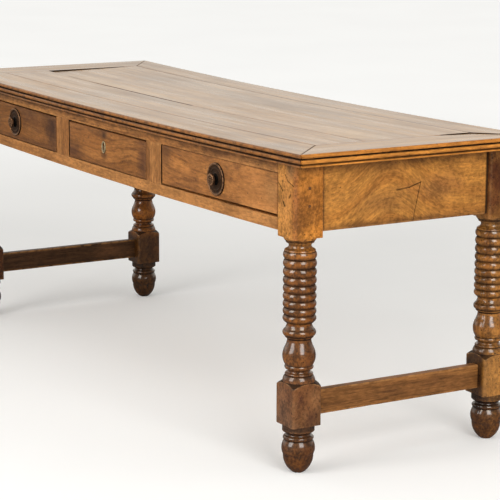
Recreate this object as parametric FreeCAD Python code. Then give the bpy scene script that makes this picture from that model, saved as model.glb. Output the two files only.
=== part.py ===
import FreeCAD, Part
import math
import os

from FreeCAD import Vector

# A long drapers table in walnut: a mitred top with a reeded edge, three drawers under its front,
# four turned legs and a stretcher at each end. Millimetres, floor at Z = 0, front towards -Y.
# The long members have settled with age, so they follow one shallow arc about an axis high above.

# Overall
TABLE_HEIGHT = 780.0
TOP_LENGTH = 2050.0
TOP_DEPTH = 676.0
TOP_THICK = 31.0
TOP_SAG = 10.0              # how far mid-length lies below the ends

# Clearances
JOINT_GAP = 0.1             # glue line of tenons, tongues, dovetails and seats
RUN_GAP = 0.3               # under a drawer side, and round the lock's bolt
FRONT_GAP = 1.6             # the line that shows round a drawer front

# Top
END_BORDER = 130.0
FRONT_BORDER = 122.0
BACK_BORDER = 100.0
FRONT_BOARD = 141.0
TONGUE_THICK = 9.0
TONGUE_LENGTH = 10.0
UPPER_REED = 9.4
MIDDLE_REED = 9.0
REED_GROOVE = 4.0
REED_GROOVE_DEPTH = 6.0
REED_BULGE = 2.6
REED_FACETS = 6             # flats that round each reed
TOP_EDGE_ROUND = 4.5        # how far the upper reed rolls in on the top face

# Legs
LEG_SQUARE = 80.0
LEG_CORNER = 6.0
END_OVERHANG = 49.0
SIDE_OVERHANG = 17.0
FOOT_FLAT = 13.5            # radius of the face that stands on the floor
FOOT_HEIGHT = 119.0
LOWER_BLOCK = 94.5
BLOCK_SHOULDER = 10.5       # rise of the lathe-cut shoulder over the lower block
BLANK_OVER = 3.4            # the shoulder's cut starts this far outside the square's corners
CROWN_DEPTH = 1.0           # cut at the top of that shoulder
BLOCK_DROP = 14.5           # how far the upper block reaches below the aprons
RING_COUNT = 8
RING_DEPTH = 4.5
RING_TAPER = 0.8            # height of the lowest ring over that of the highest
RING_ROUND = 0.45           # most that a ring stands out, over its height

# Outlines of the turnings, as (cut depth below the square's face, height above the start).
# A pair is a straight cut to that point. Two pairs are an arc through the first to the second.
FOOT_TURNING = [
    ((9.5, 18.6), (3.5, 45.8)),
    (2.8, 45.8),
    ((0.0, 64.5), (6.5, 80.9)),
    ((2.9, 86.6), (7.4, 91.4)),
    ((11.0, 95.0), (8.0, 98.8)),
    ((3.6, 101.2), (1.0, 103.6)),
    (1.0, FOOT_HEIGHT),
]
VASE_TURNING = [
    ((1.6, 7.0), (5.8, 15.4)),
    (7.4, 16.2),
    ((6.0, 18.6), (8.2, 22.0)),
    ((13.4, 26.6), (11.2, 30.2)),
    (7.0, 31.8),
    ((5.3, 36.2), (6.4, 39.4)),
    (7.2, 40.4),
    ((0.3, 66.0), (4.2, 82.5)),
    ((9.6, 91.0), (10.6, 97.0)),
    (11.4, 101.6),
    ((10.8, 104.4), (8.0, 106.6)),
    (6.0, 108.6),
    (5.4, 111.4),
    ((0.2, 118.5), (2.4, 126.0)),
    ((7.8, 133.0), (9.8, 137.6)),
    (9.9, 141.0),
]
VASE_HEIGHT = 146.0
CAP_TURNING = [
    ((0.0, 8.6), (2.2, 17.4)),
    (3.6, 18.0),
    ((2.8, 20.2), (4.6, 23.0)),
    ((10.5, 26.7), (13.2, 31.0)),
    ((12.4, 35.0), (7.6, 38.6)),
    (6.4, 39.4),
    (6.2, 41.2),
    ((3.6, 44.6), (0.8, 48.6)),
]
CAP_HEIGHT = 52.0

# Frame
APRON_DEPTH = 162.0
APRON_THICK = 25.0
APRON_SETBACK = 9.5         # aprons lie this far inside the legs' outer faces
RAIL_SETBACK = 2.0          # front rails and drawers lie this far behind the legs' front faces
LOWER_RAIL = 30.0
UPPER_RAIL = 26.0
CENTRE_OPENING = 472.0
DIVIDER_WIDTH = 82.0
TENON_THICK = 10.0
TENON_SHOULDER = 7.0
TENON_LENGTH = 30.0
END_TENON_LENGTH = 62.0
STUB_LENGTH = 9.0
PEG_RADIUS = 4.0
PEG_LENGTH = 38.0
PEG_DROPS = (56.0, 98.0)    # below the top's underside
STRETCHER_RISE = 18.0       # above the lower block's bottom
STRETCHER_HEIGHT = 60.0
STRETCHER_THICK = 24.0

# Drawer running gear
RUNNER_THICK = 22.0
RUNNER_LEDGE = 22.0         # how far a runner or kicker reaches under or over a drawer side
GUIDE_HEIGHT = 20.0
STOP_WIDTH = 30.0
STOP_DEPTH = 12.0
STOP_HEIGHT = 6.0
STOP_INSET = 90.0           # from a drawer's end to the middle of its stop

# Drawers
DRAWER_BACK_ROOM = 60.5     # between a shut drawer and the back apron
DRAWER_FRONT = 22.0
DRAWER_SIDE = 12.0
DRAWER_BACK = 12.0
DRAWER_BOTTOM = 8.0
BOTTOM_RISE = 9.0           # bottom panel above the lower edge of the sides
BOTTOM_GROOVE = 5.0
SIDE_DROP = 5.0             # drawer sides stop this far below the front's upper edge
BACK_DROP = 6.0             # drawer back stops this far below the sides
LAP = 5.0                   # wood left in front of the front dovetails
TAIL_COUNT = 3
TAIL_SHARE = 0.7            # of the dovetail pitch, at the wide end
TAIL_SLOPE = 6.0

# Knobs
PLATE_RADIUS = 41.0
PLATE_RIM = 5.0
PLATE_RIM_WIDTH = 5.0
PLATE_FLOOR = 2.5
BOSS_RADIUS = 13.0
BOSS_HEIGHT = 5.5
BOSS_ROUND = 1.2
PLATE_DISH_EDGE = 3.25      # height of the dish where it meets the rim and the boss
KNOB_RADIUS = 16.0
KNOB_NECK = 8.0
KNOB_WAIST = 6.4
KNOB_HEAD = 7.0
KNOB_BACK_ROUND = 1.5
KNOB_FACE_ROUND = 2.5
KNOB_REACH = 18.5           # front of the knob before the drawer front
KNOB_RING = 9.0             # radius of the ring turned on the knob's face
KNOB_RING_DEPTH = 1.2
SHANK_RADIUS = 4.5
NUT_WIDTH = 16.0
NUT_THICK = 6.0
NUT_CHAMFER = 1.0

# Lock of the centre drawer
KEYHOLE_X = -14.0
KEYHOLE_RISE = 56.5         # above the lower rail
KEYHOLE_RADIUS = 4.2
KEYHOLE_SLOT = 5.0
KEYHOLE_DROP = 13.0         # from the round part's centre to the slot's end
ESCUTCHEON_WIDTH = 24.0
ESCUTCHEON_HEIGHT = 34.0
ESCUTCHEON_THICK = 1.6
ESCUTCHEON_RIM = 3.0
ESCUTCHEON_RIM_LIFT = 0.8
LOCK_WIDTH = 64.0
LOCK_DEPTH = 12.0
LOCK_WALL = 2.0
LOCK_FLANGE = 9.0
LOCK_BELOW_KEY = 24.0
BOLT_WIDTH = 22.0
BOLT_THICK = 6.0
BOLT_ABOVE_KEY = 12.0
BOLT_TRAVEL = 8.0
LOCK_SCREW_RADIUS = 1.6
LOCK_SCREW_LENGTH = 9.0
LOCK_SCREW_INSET = 12.0     # from the case's upper and lower edges

# Screws that hold the top down
SCREW_RADIUS = 2.5
SCREW_HEAD_RADIUS = 5.0
SCREW_HEAD = 3.0
SCREW_SINK = 6.0            # head below the kicker's or rail's underside
SCREW_BITE = 18.0           # into the top
RAIL_SCREW_X = (150.0, 620.0)
KICKER_SCREW_Y = (-150.0, 110.0)

# Settled arc of the long members
HALF_LENGTH = TOP_LENGTH / 2
HALF_DEPTH = TOP_DEPTH / 2
BEND_RADIUS = HALF_LENGTH ** 2 / (2 * TOP_SAG) + TOP_SAG / 2
BEND_AXIS_Z = TABLE_HEIGHT - TOP_SAG + BEND_RADIUS

# Places that pieces share
LEG_X = HALF_LENGTH - END_OVERHANG - LEG_SQUARE / 2
LEG_Y = HALF_DEPTH - SIDE_OVERHANG - LEG_SQUARE / 2
LEG_IN_X = LEG_X - LEG_SQUARE / 2
LEG_OUT_X = LEG_X + LEG_SQUARE / 2
LEG_IN_Y = LEG_Y - LEG_SQUARE / 2
LEG_OUT_Y = LEG_Y + LEG_SQUARE / 2
UNDERSIDE = TABLE_HEIGHT - TOP_THICK
APRON_TOP = UNDERSIDE - JOINT_GAP
APRON_BOTTOM = UNDERSIDE - APRON_DEPTH
RAIL_FRONT_Y = -LEG_OUT_Y + RAIL_SETBACK
RAIL_BACK_Y = -LEG_IN_Y
SEAT_Z = APRON_BOTTOM + LOWER_RAIL
CEILING_Z = UNDERSIDE - UPPER_RAIL
APRON_OUT_X = LEG_OUT_X - APRON_SETBACK
APRON_IN_X = APRON_OUT_X - APRON_THICK
BACK_APRON_OUT_Y = LEG_OUT_Y - APRON_SETBACK
BACK_APRON_IN_Y = BACK_APRON_OUT_Y - APRON_THICK
DIVIDER_IN_X = CENTRE_OPENING / 2
DIVIDER_OUT_X = DIVIDER_IN_X + DIVIDER_WIDTH
SIDE_OPENING = LEG_IN_X - DIVIDER_OUT_X
SIDE_DRAWER_X = (LEG_IN_X + DIVIDER_OUT_X) / 2
FRONT_JOINT_Y = -HALF_DEPTH + FRONT_BORDER
BOARD_JOINT_Y = FRONT_JOINT_Y + FRONT_BOARD
BACK_JOINT_Y = HALF_DEPTH - BACK_BORDER
END_JOINT_X = HALF_LENGTH - END_BORDER
TONGUE_LOW = UNDERSIDE + (TOP_THICK - TONGUE_THICK) / 2
TONGUE_HIGH = TONGUE_LOW + TONGUE_THICK
STRETCHER_Z = FOOT_HEIGHT + STRETCHER_RISE
KEYHOLE_Z = SEAT_Z + KEYHOLE_RISE
DRAWER_END_Y = BACK_APRON_IN_Y - DRAWER_BACK_ROOM
RUNNER_SPAN = (SEAT_Z - RUNNER_THICK, SEAT_Z)
KICKER_SPAN = (CEILING_Z, APRON_TOP)
CUT_OVER = 20.0             # how far a cutting tool runs past the wood


def box(x0, x1, y0, y1, z0, z1):
    return Part.makeBox(x1 - x0, y1 - y0, z1 - z0, Vector(x0, y0, z0))


def line(start, end):
    return Part.LineSegment(start, end).toShape()


def arc(start, through, end):
    return Part.Arc(start, through, end).toShape()


def mirrored(shape):
    return shape.mirror(Vector(0, 0, 0), Vector(1, 0, 0))


def settled(x, z):
    # Height at x of a settled line whose height at the table's ends is z.
    radius = math.hypot(BEND_AXIS_Z - z, HALF_LENGTH)
    return BEND_AXIS_Z - math.sqrt(radius ** 2 - x ** 2)


def board(x0, x1, y0, y1, z0, z1):
    # A board whose upper and lower faces follow the settled arc.
    middle = (x0 + x1) / 2

    def point(x, z):
        return Vector(x, y0, settled(x, z))

    outline = Part.Wire([
        arc(point(x0, z0), point(middle, z0), point(x1, z0)),
        line(point(x1, z0), point(x1, z1)),
        arc(point(x1, z1), point(middle, z1), point(x0, z1)),
        line(point(x0, z1), point(x0, z0)),
    ])
    return Part.Face(outline).extrude(Vector(0, y1 - y0, 0))


def chord_rise(width):
    # How far a straight piece of this width stands above the arc's lowest point.
    return width ** 2 / (8 * BEND_RADIUS)


def settle(shape, x):
    # Carry a straight piece, made at mid-length at its end height, along the arc to x.
    drop = settled(0, SEAT_Z) - SEAT_Z
    angle = math.degrees(math.asin(x / (BEND_AXIS_Z - SEAT_Z)))
    moved = shape.copy()
    moved.translate(Vector(0, 0, drop))
    moved.rotate(Vector(0, 0, BEND_AXIS_Z), Vector(0, 1, 0), -angle)
    return moved


def turned(points, axis_point, axis):
    # A solid of revolution from a closed outline of edges.
    return Part.Face(Part.Wire(points)).revolve(axis_point, axis, 360)


# The top

def reed(inset_start, inset_end, drop_start, drop_end):
    # Points of one half-round reed, as (inset from the edge, drop below the top face).
    middle = (drop_start + drop_end) / 2
    half = (drop_end - drop_start) / 2
    points = []
    for i in range(REED_FACETS + 1):
        angle = math.pi * i / REED_FACETS
        inset = inset_start if 2 * i < REED_FACETS else inset_end
        points.append((inset * (1 - math.sin(angle)), middle - half * math.cos(angle)))
    return points


def reeded_edge():
    # Edge moulding from the top face down to the underside: three reeds with two grooves between.
    middle_start = UPPER_REED + REED_GROOVE
    middle_end = middle_start + MIDDLE_REED
    lip_start = middle_end + REED_GROOVE
    points = reed(TOP_EDGE_ROUND, REED_BULGE, 0, UPPER_REED)
    points += [(REED_GROOVE_DEPTH, UPPER_REED), (REED_GROOVE_DEPTH, middle_start)]
    points += reed(REED_BULGE, REED_BULGE, middle_start, middle_end)
    points += [(REED_GROOVE_DEPTH, middle_end), (REED_GROOVE_DEPTH, lip_start)]
    points += reed(REED_BULGE, REED_BULGE, lip_start, TOP_THICK)
    return points


def mitre_prism(outer, inner):
    # Upright wedge between two mitre lines, each from an outer corner of the top to an inner one.
    # Its ends run past both corners.
    def past(start, end):
        share = CUT_OVER / abs(end[1] - start[1])
        return end[0] + share * (end[0] - start[0]), end[1] + share * (end[1] - start[1])

    corners = [
        past(inner[0], outer[0]),
        past(inner[1], outer[1]),
        past(outer[1], inner[1]),
        past(outer[0], inner[0]),
    ]
    low = UNDERSIDE - TOP_SAG - CUT_OVER
    wire = Part.makePolygon([Vector(x, y, low) for x, y in corners + corners[:1]])
    return Part.Face(wire).extrude(Vector(0, 0, TOP_THICK + TOP_SAG + 2 * CUT_OVER))


def long_border(side, width):
    # Front (side -1) or back (side 1) border: its section swept along the arc, then mitred.
    edge_y = side * HALF_DEPTH
    joint_y = edge_y - side * width

    def place(inset, drop):
        return Vector(0, edge_y - side * inset, settled(0, TABLE_HEIGHT - drop))

    points = reeded_edge() + [(width, TOP_THICK), (width, 0)]
    outline = Part.makePolygon([place(inset, drop) for inset, drop in points + points[:1]])
    half_angle = math.degrees(math.asin((HALF_LENGTH + CUT_OVER) / BEND_RADIUS))
    section = Part.Face(outline)
    section.rotate(Vector(0, 0, BEND_AXIS_Z), Vector(0, 1, 0), -half_angle)
    bar = section.revolve(Vector(0, 0, BEND_AXIS_Z), Vector(0, 1, 0), 2 * half_angle)
    outer = [(-HALF_LENGTH, edge_y), (HALF_LENGTH, edge_y)]
    inner = [(-END_JOINT_X, joint_y), (END_JOINT_X, joint_y)]
    return bar.common(mitre_prism(outer, inner))


def end_border():
    # Border at the +X end, mitred into the long borders.
    def place(inset, drop):
        x = HALF_LENGTH - inset
        return Vector(x, -HALF_DEPTH, settled(x, TABLE_HEIGHT - drop))

    middle = END_BORDER / 2
    moulding = [place(inset, drop) for inset, drop in reeded_edge()]
    edges = [line(start, end) for start, end in zip(moulding, moulding[1:])]
    edges += [
        arc(moulding[-1], place(middle, TOP_THICK), place(END_BORDER, TOP_THICK)),
        line(place(END_BORDER, TOP_THICK), place(END_BORDER, 0)),
        arc(place(END_BORDER, 0), place(middle, 0), moulding[0]),
    ]
    bar = Part.Face(Part.Wire(edges)).extrude(Vector(0, TOP_DEPTH, 0))
    outer = [(HALF_LENGTH, -HALF_DEPTH), (HALF_LENGTH, HALF_DEPTH)]
    inner = [(END_JOINT_X, FRONT_JOINT_Y), (END_JOINT_X, BACK_JOINT_Y)]
    return bar.common(mitre_prism(outer, inner))


def tongue(x0, x1, y0, y1, grow=0.0):
    return board(x0 - grow, x1 + grow, y0 - grow, y1 + grow, TONGUE_LOW - grow, TONGUE_HIGH + grow)


def top_board(y0, y1, tongue_front, tongue_back):
    # A long board with tongues on its ends and on the edges named, and a groove on the others.
    plank = board(-END_JOINT_X + JOINT_GAP, END_JOINT_X - JOINT_GAP, y0, y1, UNDERSIDE, TABLE_HEIGHT)
    reach = TONGUE_LENGTH
    tongue_y0 = y0 - reach if tongue_front else y0
    tongue_y1 = y1 + reach if tongue_back else y1 - reach - JOINT_GAP
    half = END_JOINT_X + reach
    plank = plank.fuse(tongue(-half, half, max(y0, tongue_y0), min(y1, tongue_y1)))
    inner = END_JOINT_X - reach
    if tongue_front:
        plank = plank.fuse(tongue(-inner, inner, tongue_y0, y0))
    if tongue_back:
        plank = plank.fuse(tongue(-inner, inner, y1, tongue_y1))
    else:
        groove = tongue(-half, half, y1 - reach, y1 + CUT_OVER, JOINT_GAP)
        plank = plank.cut(groove)
    return plank.removeSplitter()


def border_grooves():
    # Grooves that take the tongues of the long boards.
    half = END_JOINT_X + TONGUE_LENGTH
    inner = END_JOINT_X - TONGUE_LENGTH
    return [
        tongue(-half, half, FRONT_JOINT_Y, BACK_JOINT_Y, JOINT_GAP),
        tongue(-inner, inner, FRONT_JOINT_Y - TONGUE_LENGTH, BACK_JOINT_Y + TONGUE_LENGTH, JOINT_GAP),
    ]


# Legs and frame

def turning_edges(steps, start, base):
    # Edges of a turning from its list of steps, starting at the point start.
    def point(pair):
        depth, height = pair
        return Vector(LEG_SQUARE / 2 - depth, 0, base + height)

    edges = []
    for step in steps:
        if isinstance(step[0], tuple):
            through, end = point(step[0]), point(step[1])
            edges.append(arc(start, through, end))
        else:
            end = point(step)
            edges.append(line(start, end))
        start = end
    return edges, start


def ring_edges(start, low, high):
    # A stack of half-round rings whose heights shrink evenly towards the floor.
    weights = [RING_TAPER + (1 - RING_TAPER) * i / (RING_COUNT - 1) for i in range(RING_COUNT)]
    unit = (high - low) / sum(weights)
    groove_radius = LEG_SQUARE / 2 - RING_DEPTH
    edges = []
    z = low
    for weight in weights:
        height = unit * weight
        bulge = min(RING_DEPTH, RING_ROUND * height)
        end = Vector(groove_radius, 0, z + height)
        edges.append(arc(start, Vector(groove_radius + bulge, 0, z + height / 2), end))
        start = end
        z += height
    return edges, start


def turned_leg():
    # A leg on the Z axis: the turned outline cut from a square with softened corners.
    blank_radius = math.hypot(LEG_SQUARE, LEG_SQUARE) / 2 + BLANK_OVER
    block_top = FOOT_HEIGHT + LOWER_BLOCK
    vase_base = block_top + BLOCK_SHOULDER
    rings_low = vase_base + VASE_HEIGHT
    upper_block = APRON_BOTTOM - BLOCK_DROP
    rings_high = upper_block - CAP_HEIGHT
    leg_top = UNDERSIDE + CUT_OVER
    foot = Vector(FOOT_FLAT, 0, 0)
    edges = [line(Vector(0, 0, 0), foot)]
    foot_edges, end = turning_edges(FOOT_TURNING, foot, 0)
    edges += foot_edges
    corner = Vector(blank_radius, 0, FOOT_HEIGHT)
    shoulder = Vector(blank_radius, 0, block_top - BLOCK_SHOULDER / 2)
    crown = Vector(LEG_SQUARE / 2 - CROWN_DEPTH, 0, vase_base)
    bend = Vector((shoulder.x + 2 * crown.x) / 3, 0, block_top + 2 * BLOCK_SHOULDER / 3)
    edges += [line(end, corner), line(corner, shoulder), arc(shoulder, bend, crown)]
    vase_edges, end = turning_edges(VASE_TURNING, crown, vase_base)
    first_groove = Vector(LEG_SQUARE / 2 - RING_DEPTH, 0, rings_low)
    edges += vase_edges + [line(end, first_groove)]
    stack, end = ring_edges(first_groove, rings_low, rings_high)
    edges += stack
    cap_edges, end = turning_edges(CAP_TURNING, end, rings_high)
    edges += cap_edges
    under = Vector(end.x, 0, upper_block)
    outer = Vector(blank_radius, 0, upper_block)
    crest = Vector(blank_radius, 0, leg_top)
    middle = Vector(0, 0, leg_top)
    edges += [line(end, under), line(under, outer), line(outer, crest), line(crest, middle)]
    edges.append(line(middle, Vector(0, 0, 0)))
    turning = turned(edges, Vector(0, 0, 0), Vector(0, 0, 1))
    half = LEG_SQUARE / 2
    square = box(-half, half, -half, half, 0, leg_top)
    upright = [edge for edge in square.Edges if abs(edge.tangentAt(edge.FirstParameter).z) > 0.5]
    return turning.common(square.makeFillet(LEG_CORNER, upright))


def rail_tenon(z0, z1, grow=0.0):
    # Tenon of a front rail in the +X leg.
    return board(
        LEG_IN_X, LEG_IN_X + TENON_LENGTH + grow,
        RAIL_FRONT_Y + TENON_SHOULDER - grow, RAIL_BACK_Y - TENON_SHOULDER + grow,
        z0 + TENON_SHOULDER - grow, z1 - TENON_SHOULDER + grow,
    )


def back_tenon(grow=0.0):
    # Tenon of the back apron in the +X back leg.
    middle = (BACK_APRON_IN_Y + BACK_APRON_OUT_Y) / 2
    half = TENON_THICK / 2 + grow
    return board(
        LEG_IN_X, LEG_IN_X + TENON_LENGTH + grow, middle - half, middle + half,
        APRON_BOTTOM + TENON_SHOULDER - grow, APRON_TOP - TENON_SHOULDER + grow,
    )


def end_tenons(grow=0.0):
    # Tenons of the +X end apron in the front and back legs, as one bar through the apron.
    middle = (APRON_IN_X + APRON_OUT_X) / 2
    half = TENON_THICK / 2 + grow
    reach = LEG_IN_Y + END_TENON_LENGTH + grow
    return board(
        middle - half, middle + half, -reach, reach,
        APRON_BOTTOM + TENON_SHOULDER - grow, APRON_TOP - TENON_SHOULDER + grow,
    )


def stretcher_tenons(grow=0.0):
    half = TENON_THICK / 2 + grow
    reach = LEG_IN_Y + TENON_LENGTH + grow
    return box(
        LEG_X - half, LEG_X + half, -reach, reach,
        STRETCHER_Z + TENON_SHOULDER - grow, STRETCHER_Z + STRETCHER_HEIGHT - TENON_SHOULDER + grow,
    )


def peg_line(base, direction, grow):
    return Part.makeCylinder(PEG_RADIUS + grow, PEG_LENGTH + grow, base, direction)


def pegs(grow=0.0):
    # Pegs on the +X side: through the end apron's tenons, and through the back apron's.
    shapes = []
    for drop in PEG_DROPS:
        for side in (-1, 1):
            z = settled(LEG_OUT_X, UNDERSIDE - drop)
            base = Vector(LEG_OUT_X, side * LEG_Y, z)
            shapes.append(peg_line(base, Vector(-1, 0, 0), grow))
        x = LEG_IN_X + TENON_LENGTH / 2
        base = Vector(x, LEG_OUT_Y, settled(x, UNDERSIDE - drop))
        shapes.append(peg_line(base, Vector(0, -1, 0), grow))
    return shapes


def leg(side_y):
    # A leg at +X, at the front (-1) or back (1), with its mortises.
    shape = turned_leg()
    shape.translate(Vector(LEG_X, side_y * LEG_Y, 0))
    above = board(
        LEG_IN_X - CUT_OVER, LEG_OUT_X + CUT_OVER,
        side_y * LEG_Y - LEG_SQUARE, side_y * LEG_Y + LEG_SQUARE,
        APRON_TOP, UNDERSIDE + 2 * CUT_OVER,
    )
    tools = [above, end_tenons(JOINT_GAP), stretcher_tenons(JOINT_GAP)] + pegs(JOINT_GAP)
    if side_y < 0:
        tools.append(rail_tenon(APRON_BOTTOM, SEAT_Z, JOINT_GAP))
        tools.append(rail_tenon(CEILING_Z, APRON_TOP, JOINT_GAP))
    else:
        tools.append(back_tenon(JOINT_GAP))
    return shape.cut(tools)


def divider_tenons(grow=0.0):
    # Stub tenons of the +X divider, down and up, as one bar through the divider.
    return board(
        DIVIDER_IN_X + TENON_SHOULDER - grow, DIVIDER_OUT_X - TENON_SHOULDER + grow,
        RAIL_FRONT_Y + 2 * TENON_SHOULDER - grow, RAIL_BACK_Y - 2 * TENON_SHOULDER + grow,
        SEAT_Z - STUB_LENGTH - grow, CEILING_Z + STUB_LENGTH + grow,
    )


def divider():
    body = board(
        DIVIDER_IN_X, DIVIDER_OUT_X, RAIL_FRONT_Y, RAIL_BACK_Y,
        SEAT_Z + JOINT_GAP, CEILING_Z - JOINT_GAP,
    )
    return body.fuse(divider_tenons()).removeSplitter()


def middle_stubs(z0, z1, grow=0.0):
    # Stub tenons of a middle runner or kicker in the front rail and back apron, as one bar.
    return board(
        DIVIDER_IN_X - grow, DIVIDER_OUT_X + grow,
        RAIL_BACK_Y - STUB_LENGTH - grow, BACK_APRON_IN_Y + STUB_LENGTH + grow,
        z0 - grow, z1 + grow,
    )


def middle_bearer(z0, z1):
    # A middle runner or kicker, wide enough for the drawers on both sides of its divider.
    body = board(
        DIVIDER_IN_X - RUNNER_LEDGE, DIVIDER_OUT_X + RUNNER_LEDGE,
        RAIL_BACK_Y + JOINT_GAP, BACK_APRON_IN_Y - JOINT_GAP, z0, z1,
    )
    third = (z1 - z0) / 3
    return body.fuse(middle_stubs(z0 + third, z1 - third)).removeSplitter()


def end_bearer(z0, z1):
    # A runner or kicker beside the end apron, between the legs.
    return board(
        LEG_IN_X - RUNNER_LEDGE, APRON_IN_X - JOINT_GAP,
        -LEG_IN_Y + JOINT_GAP, LEG_IN_Y - JOINT_GAP, z0, z1,
    )


def bearer_mortises():
    # Mortises that the middle runners and kickers need, on both sides.
    tools = []
    for z0, z1 in (RUNNER_SPAN, KICKER_SPAN):
        third = (z1 - z0) / 3
        bar = middle_stubs(z0 + third, z1 - third, JOINT_GAP)
        tools += [bar, mirrored(bar)]
    return tools


def front_rail(z0, z1):
    body = board(-LEG_IN_X + JOINT_GAP, LEG_IN_X - JOINT_GAP, RAIL_FRONT_Y, RAIL_BACK_Y, z0, z1)
    tenon = rail_tenon(z0, z1)
    link = board(
        LEG_IN_X - 2 * JOINT_GAP, LEG_IN_X,
        RAIL_FRONT_Y + TENON_SHOULDER, RAIL_BACK_Y - TENON_SHOULDER,
        z0 + TENON_SHOULDER, z1 - TENON_SHOULDER,
    )
    arm = tenon.fuse(link)
    body = body.fuse([arm, mirrored(arm)])
    posts = divider_tenons(JOINT_GAP)
    tools = bearer_mortises() + [posts, mirrored(posts)]
    return body.cut(tools).removeSplitter()


def back_apron():
    body = board(
        -LEG_IN_X, LEG_IN_X, BACK_APRON_IN_Y, BACK_APRON_OUT_Y, APRON_BOTTOM, APRON_TOP,
    )
    tenon = back_tenon()
    body = body.fuse([tenon, mirrored(tenon)]).removeSplitter()
    holes = pegs(JOINT_GAP)
    return body.cut(bearer_mortises() + holes + [mirrored(hole) for hole in holes])


def end_apron():
    body = board(APRON_IN_X, APRON_OUT_X, -LEG_IN_Y, LEG_IN_Y, APRON_BOTTOM, APRON_TOP)
    return body.fuse(end_tenons()).removeSplitter().cut(pegs(JOINT_GAP))


def stretcher():
    half = STRETCHER_THICK / 2
    body = box(
        LEG_X - half, LEG_X + half, -LEG_IN_Y, LEG_IN_Y,
        STRETCHER_Z, STRETCHER_Z + STRETCHER_HEIGHT,
    )
    return body.fuse(stretcher_tenons()).removeSplitter()


# Drawer running gear

def middle_guide():
    return board(
        DIVIDER_IN_X, DIVIDER_OUT_X, RAIL_BACK_Y + JOINT_GAP, BACK_APRON_IN_Y - JOINT_GAP,
        SEAT_Z + JOINT_GAP, SEAT_Z + GUIDE_HEIGHT,
    )


def end_guide():
    return board(
        LEG_IN_X, APRON_IN_X - JOINT_GAP, -LEG_IN_Y + JOINT_GAP, LEG_IN_Y - JOINT_GAP,
        SEAT_Z + JOINT_GAP, SEAT_Z + GUIDE_HEIGHT,
    )


def drawer_stops():
    # Two blocks on the lower rail behind each drawer front.
    y0 = RAIL_FRONT_Y + DRAWER_FRONT + RUN_GAP
    blocks = []
    for centre, width in drawer_places().values():
        for side in (-1, 1):
            x = centre + side * (width / 2 - STOP_INSET)
            blocks.append(board(
                x - STOP_WIDTH / 2, x + STOP_WIDTH / 2, y0, y0 + STOP_DEPTH,
                SEAT_Z + JOINT_GAP, SEAT_Z + STOP_HEIGHT,
            ))
    return blocks


def top_screw(x, y, bottom_z, grow=0.0):
    # A countersunk screw driven upwards, made at mid-length and carried along the arc by settle.
    head_z = bottom_z + SCREW_SINK
    tip_z = UNDERSIDE + SCREW_BITE
    head = Part.makeCone(
        SCREW_HEAD_RADIUS + grow, SCREW_RADIUS + grow, SCREW_HEAD, Vector(0, y, head_z), Vector(0, 0, 1),
    )
    shank = Part.makeCylinder(
        SCREW_RADIUS + grow, tip_z - head_z + grow - SCREW_HEAD,
        Vector(0, y, head_z + SCREW_HEAD), Vector(0, 0, 1),
    )
    screw = head.fuse(shank)
    if grow:
        sink = Part.makeCylinder(
            SCREW_HEAD_RADIUS + grow, SCREW_SINK + CUT_OVER,
            Vector(0, y, bottom_z - CUT_OVER), Vector(0, 0, 1),
        )
        screw = screw.fuse(sink)
    return settle(screw, x)


def top_screws(grow=0.0):
    # Screws up through the upper rail and the four kickers.
    rail_y = (RAIL_FRONT_Y + RAIL_BACK_Y) / 2
    middle_x = (DIVIDER_IN_X + DIVIDER_OUT_X) / 2
    end_x = (LEG_IN_X + APRON_IN_X) / 2
    places = [(x, rail_y) for x in RAIL_SCREW_X]
    places += [(x, y) for x in (middle_x, end_x) for y in KICKER_SCREW_Y]
    shapes = [top_screw(x, y, CEILING_Z, grow) for x, y in places]
    return shapes + [mirrored(shape) for shape in shapes]


# Drawers

def drawer_places():
    # Name to middle and width of each opening.
    return {
        "left": (-SIDE_DRAWER_X, SIDE_OPENING),
        "centre": (0.0, CENTRE_OPENING),
        "right": (SIDE_DRAWER_X, SIDE_OPENING),
    }


def tails(x0, x1, y0, y1, z0, z1, grow=0.0):
    # Dovetails of a drawer side from the shoulder at y0 to their wide ends at y1.
    pitch = (z1 - z0) / TAIL_COUNT
    wide = TAIL_SHARE * pitch / 2 + grow
    narrow = wide - abs(y1 - y0) / TAIL_SLOPE
    end = y1 + math.copysign(grow, y1 - y0)
    shapes = []
    for i in range(TAIL_COUNT):
        z = z0 + pitch * (i + 0.5)
        corners = [(y0, z - narrow), (end, z - wide), (end, z + wide), (y0, z + narrow), (y0, z - narrow)]
        face = Part.Face(Part.makePolygon([Vector(x0, y, height) for y, height in corners]))
        shapes.append(face.extrude(Vector(x1 - x0, 0, 0)))
    return shapes


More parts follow.
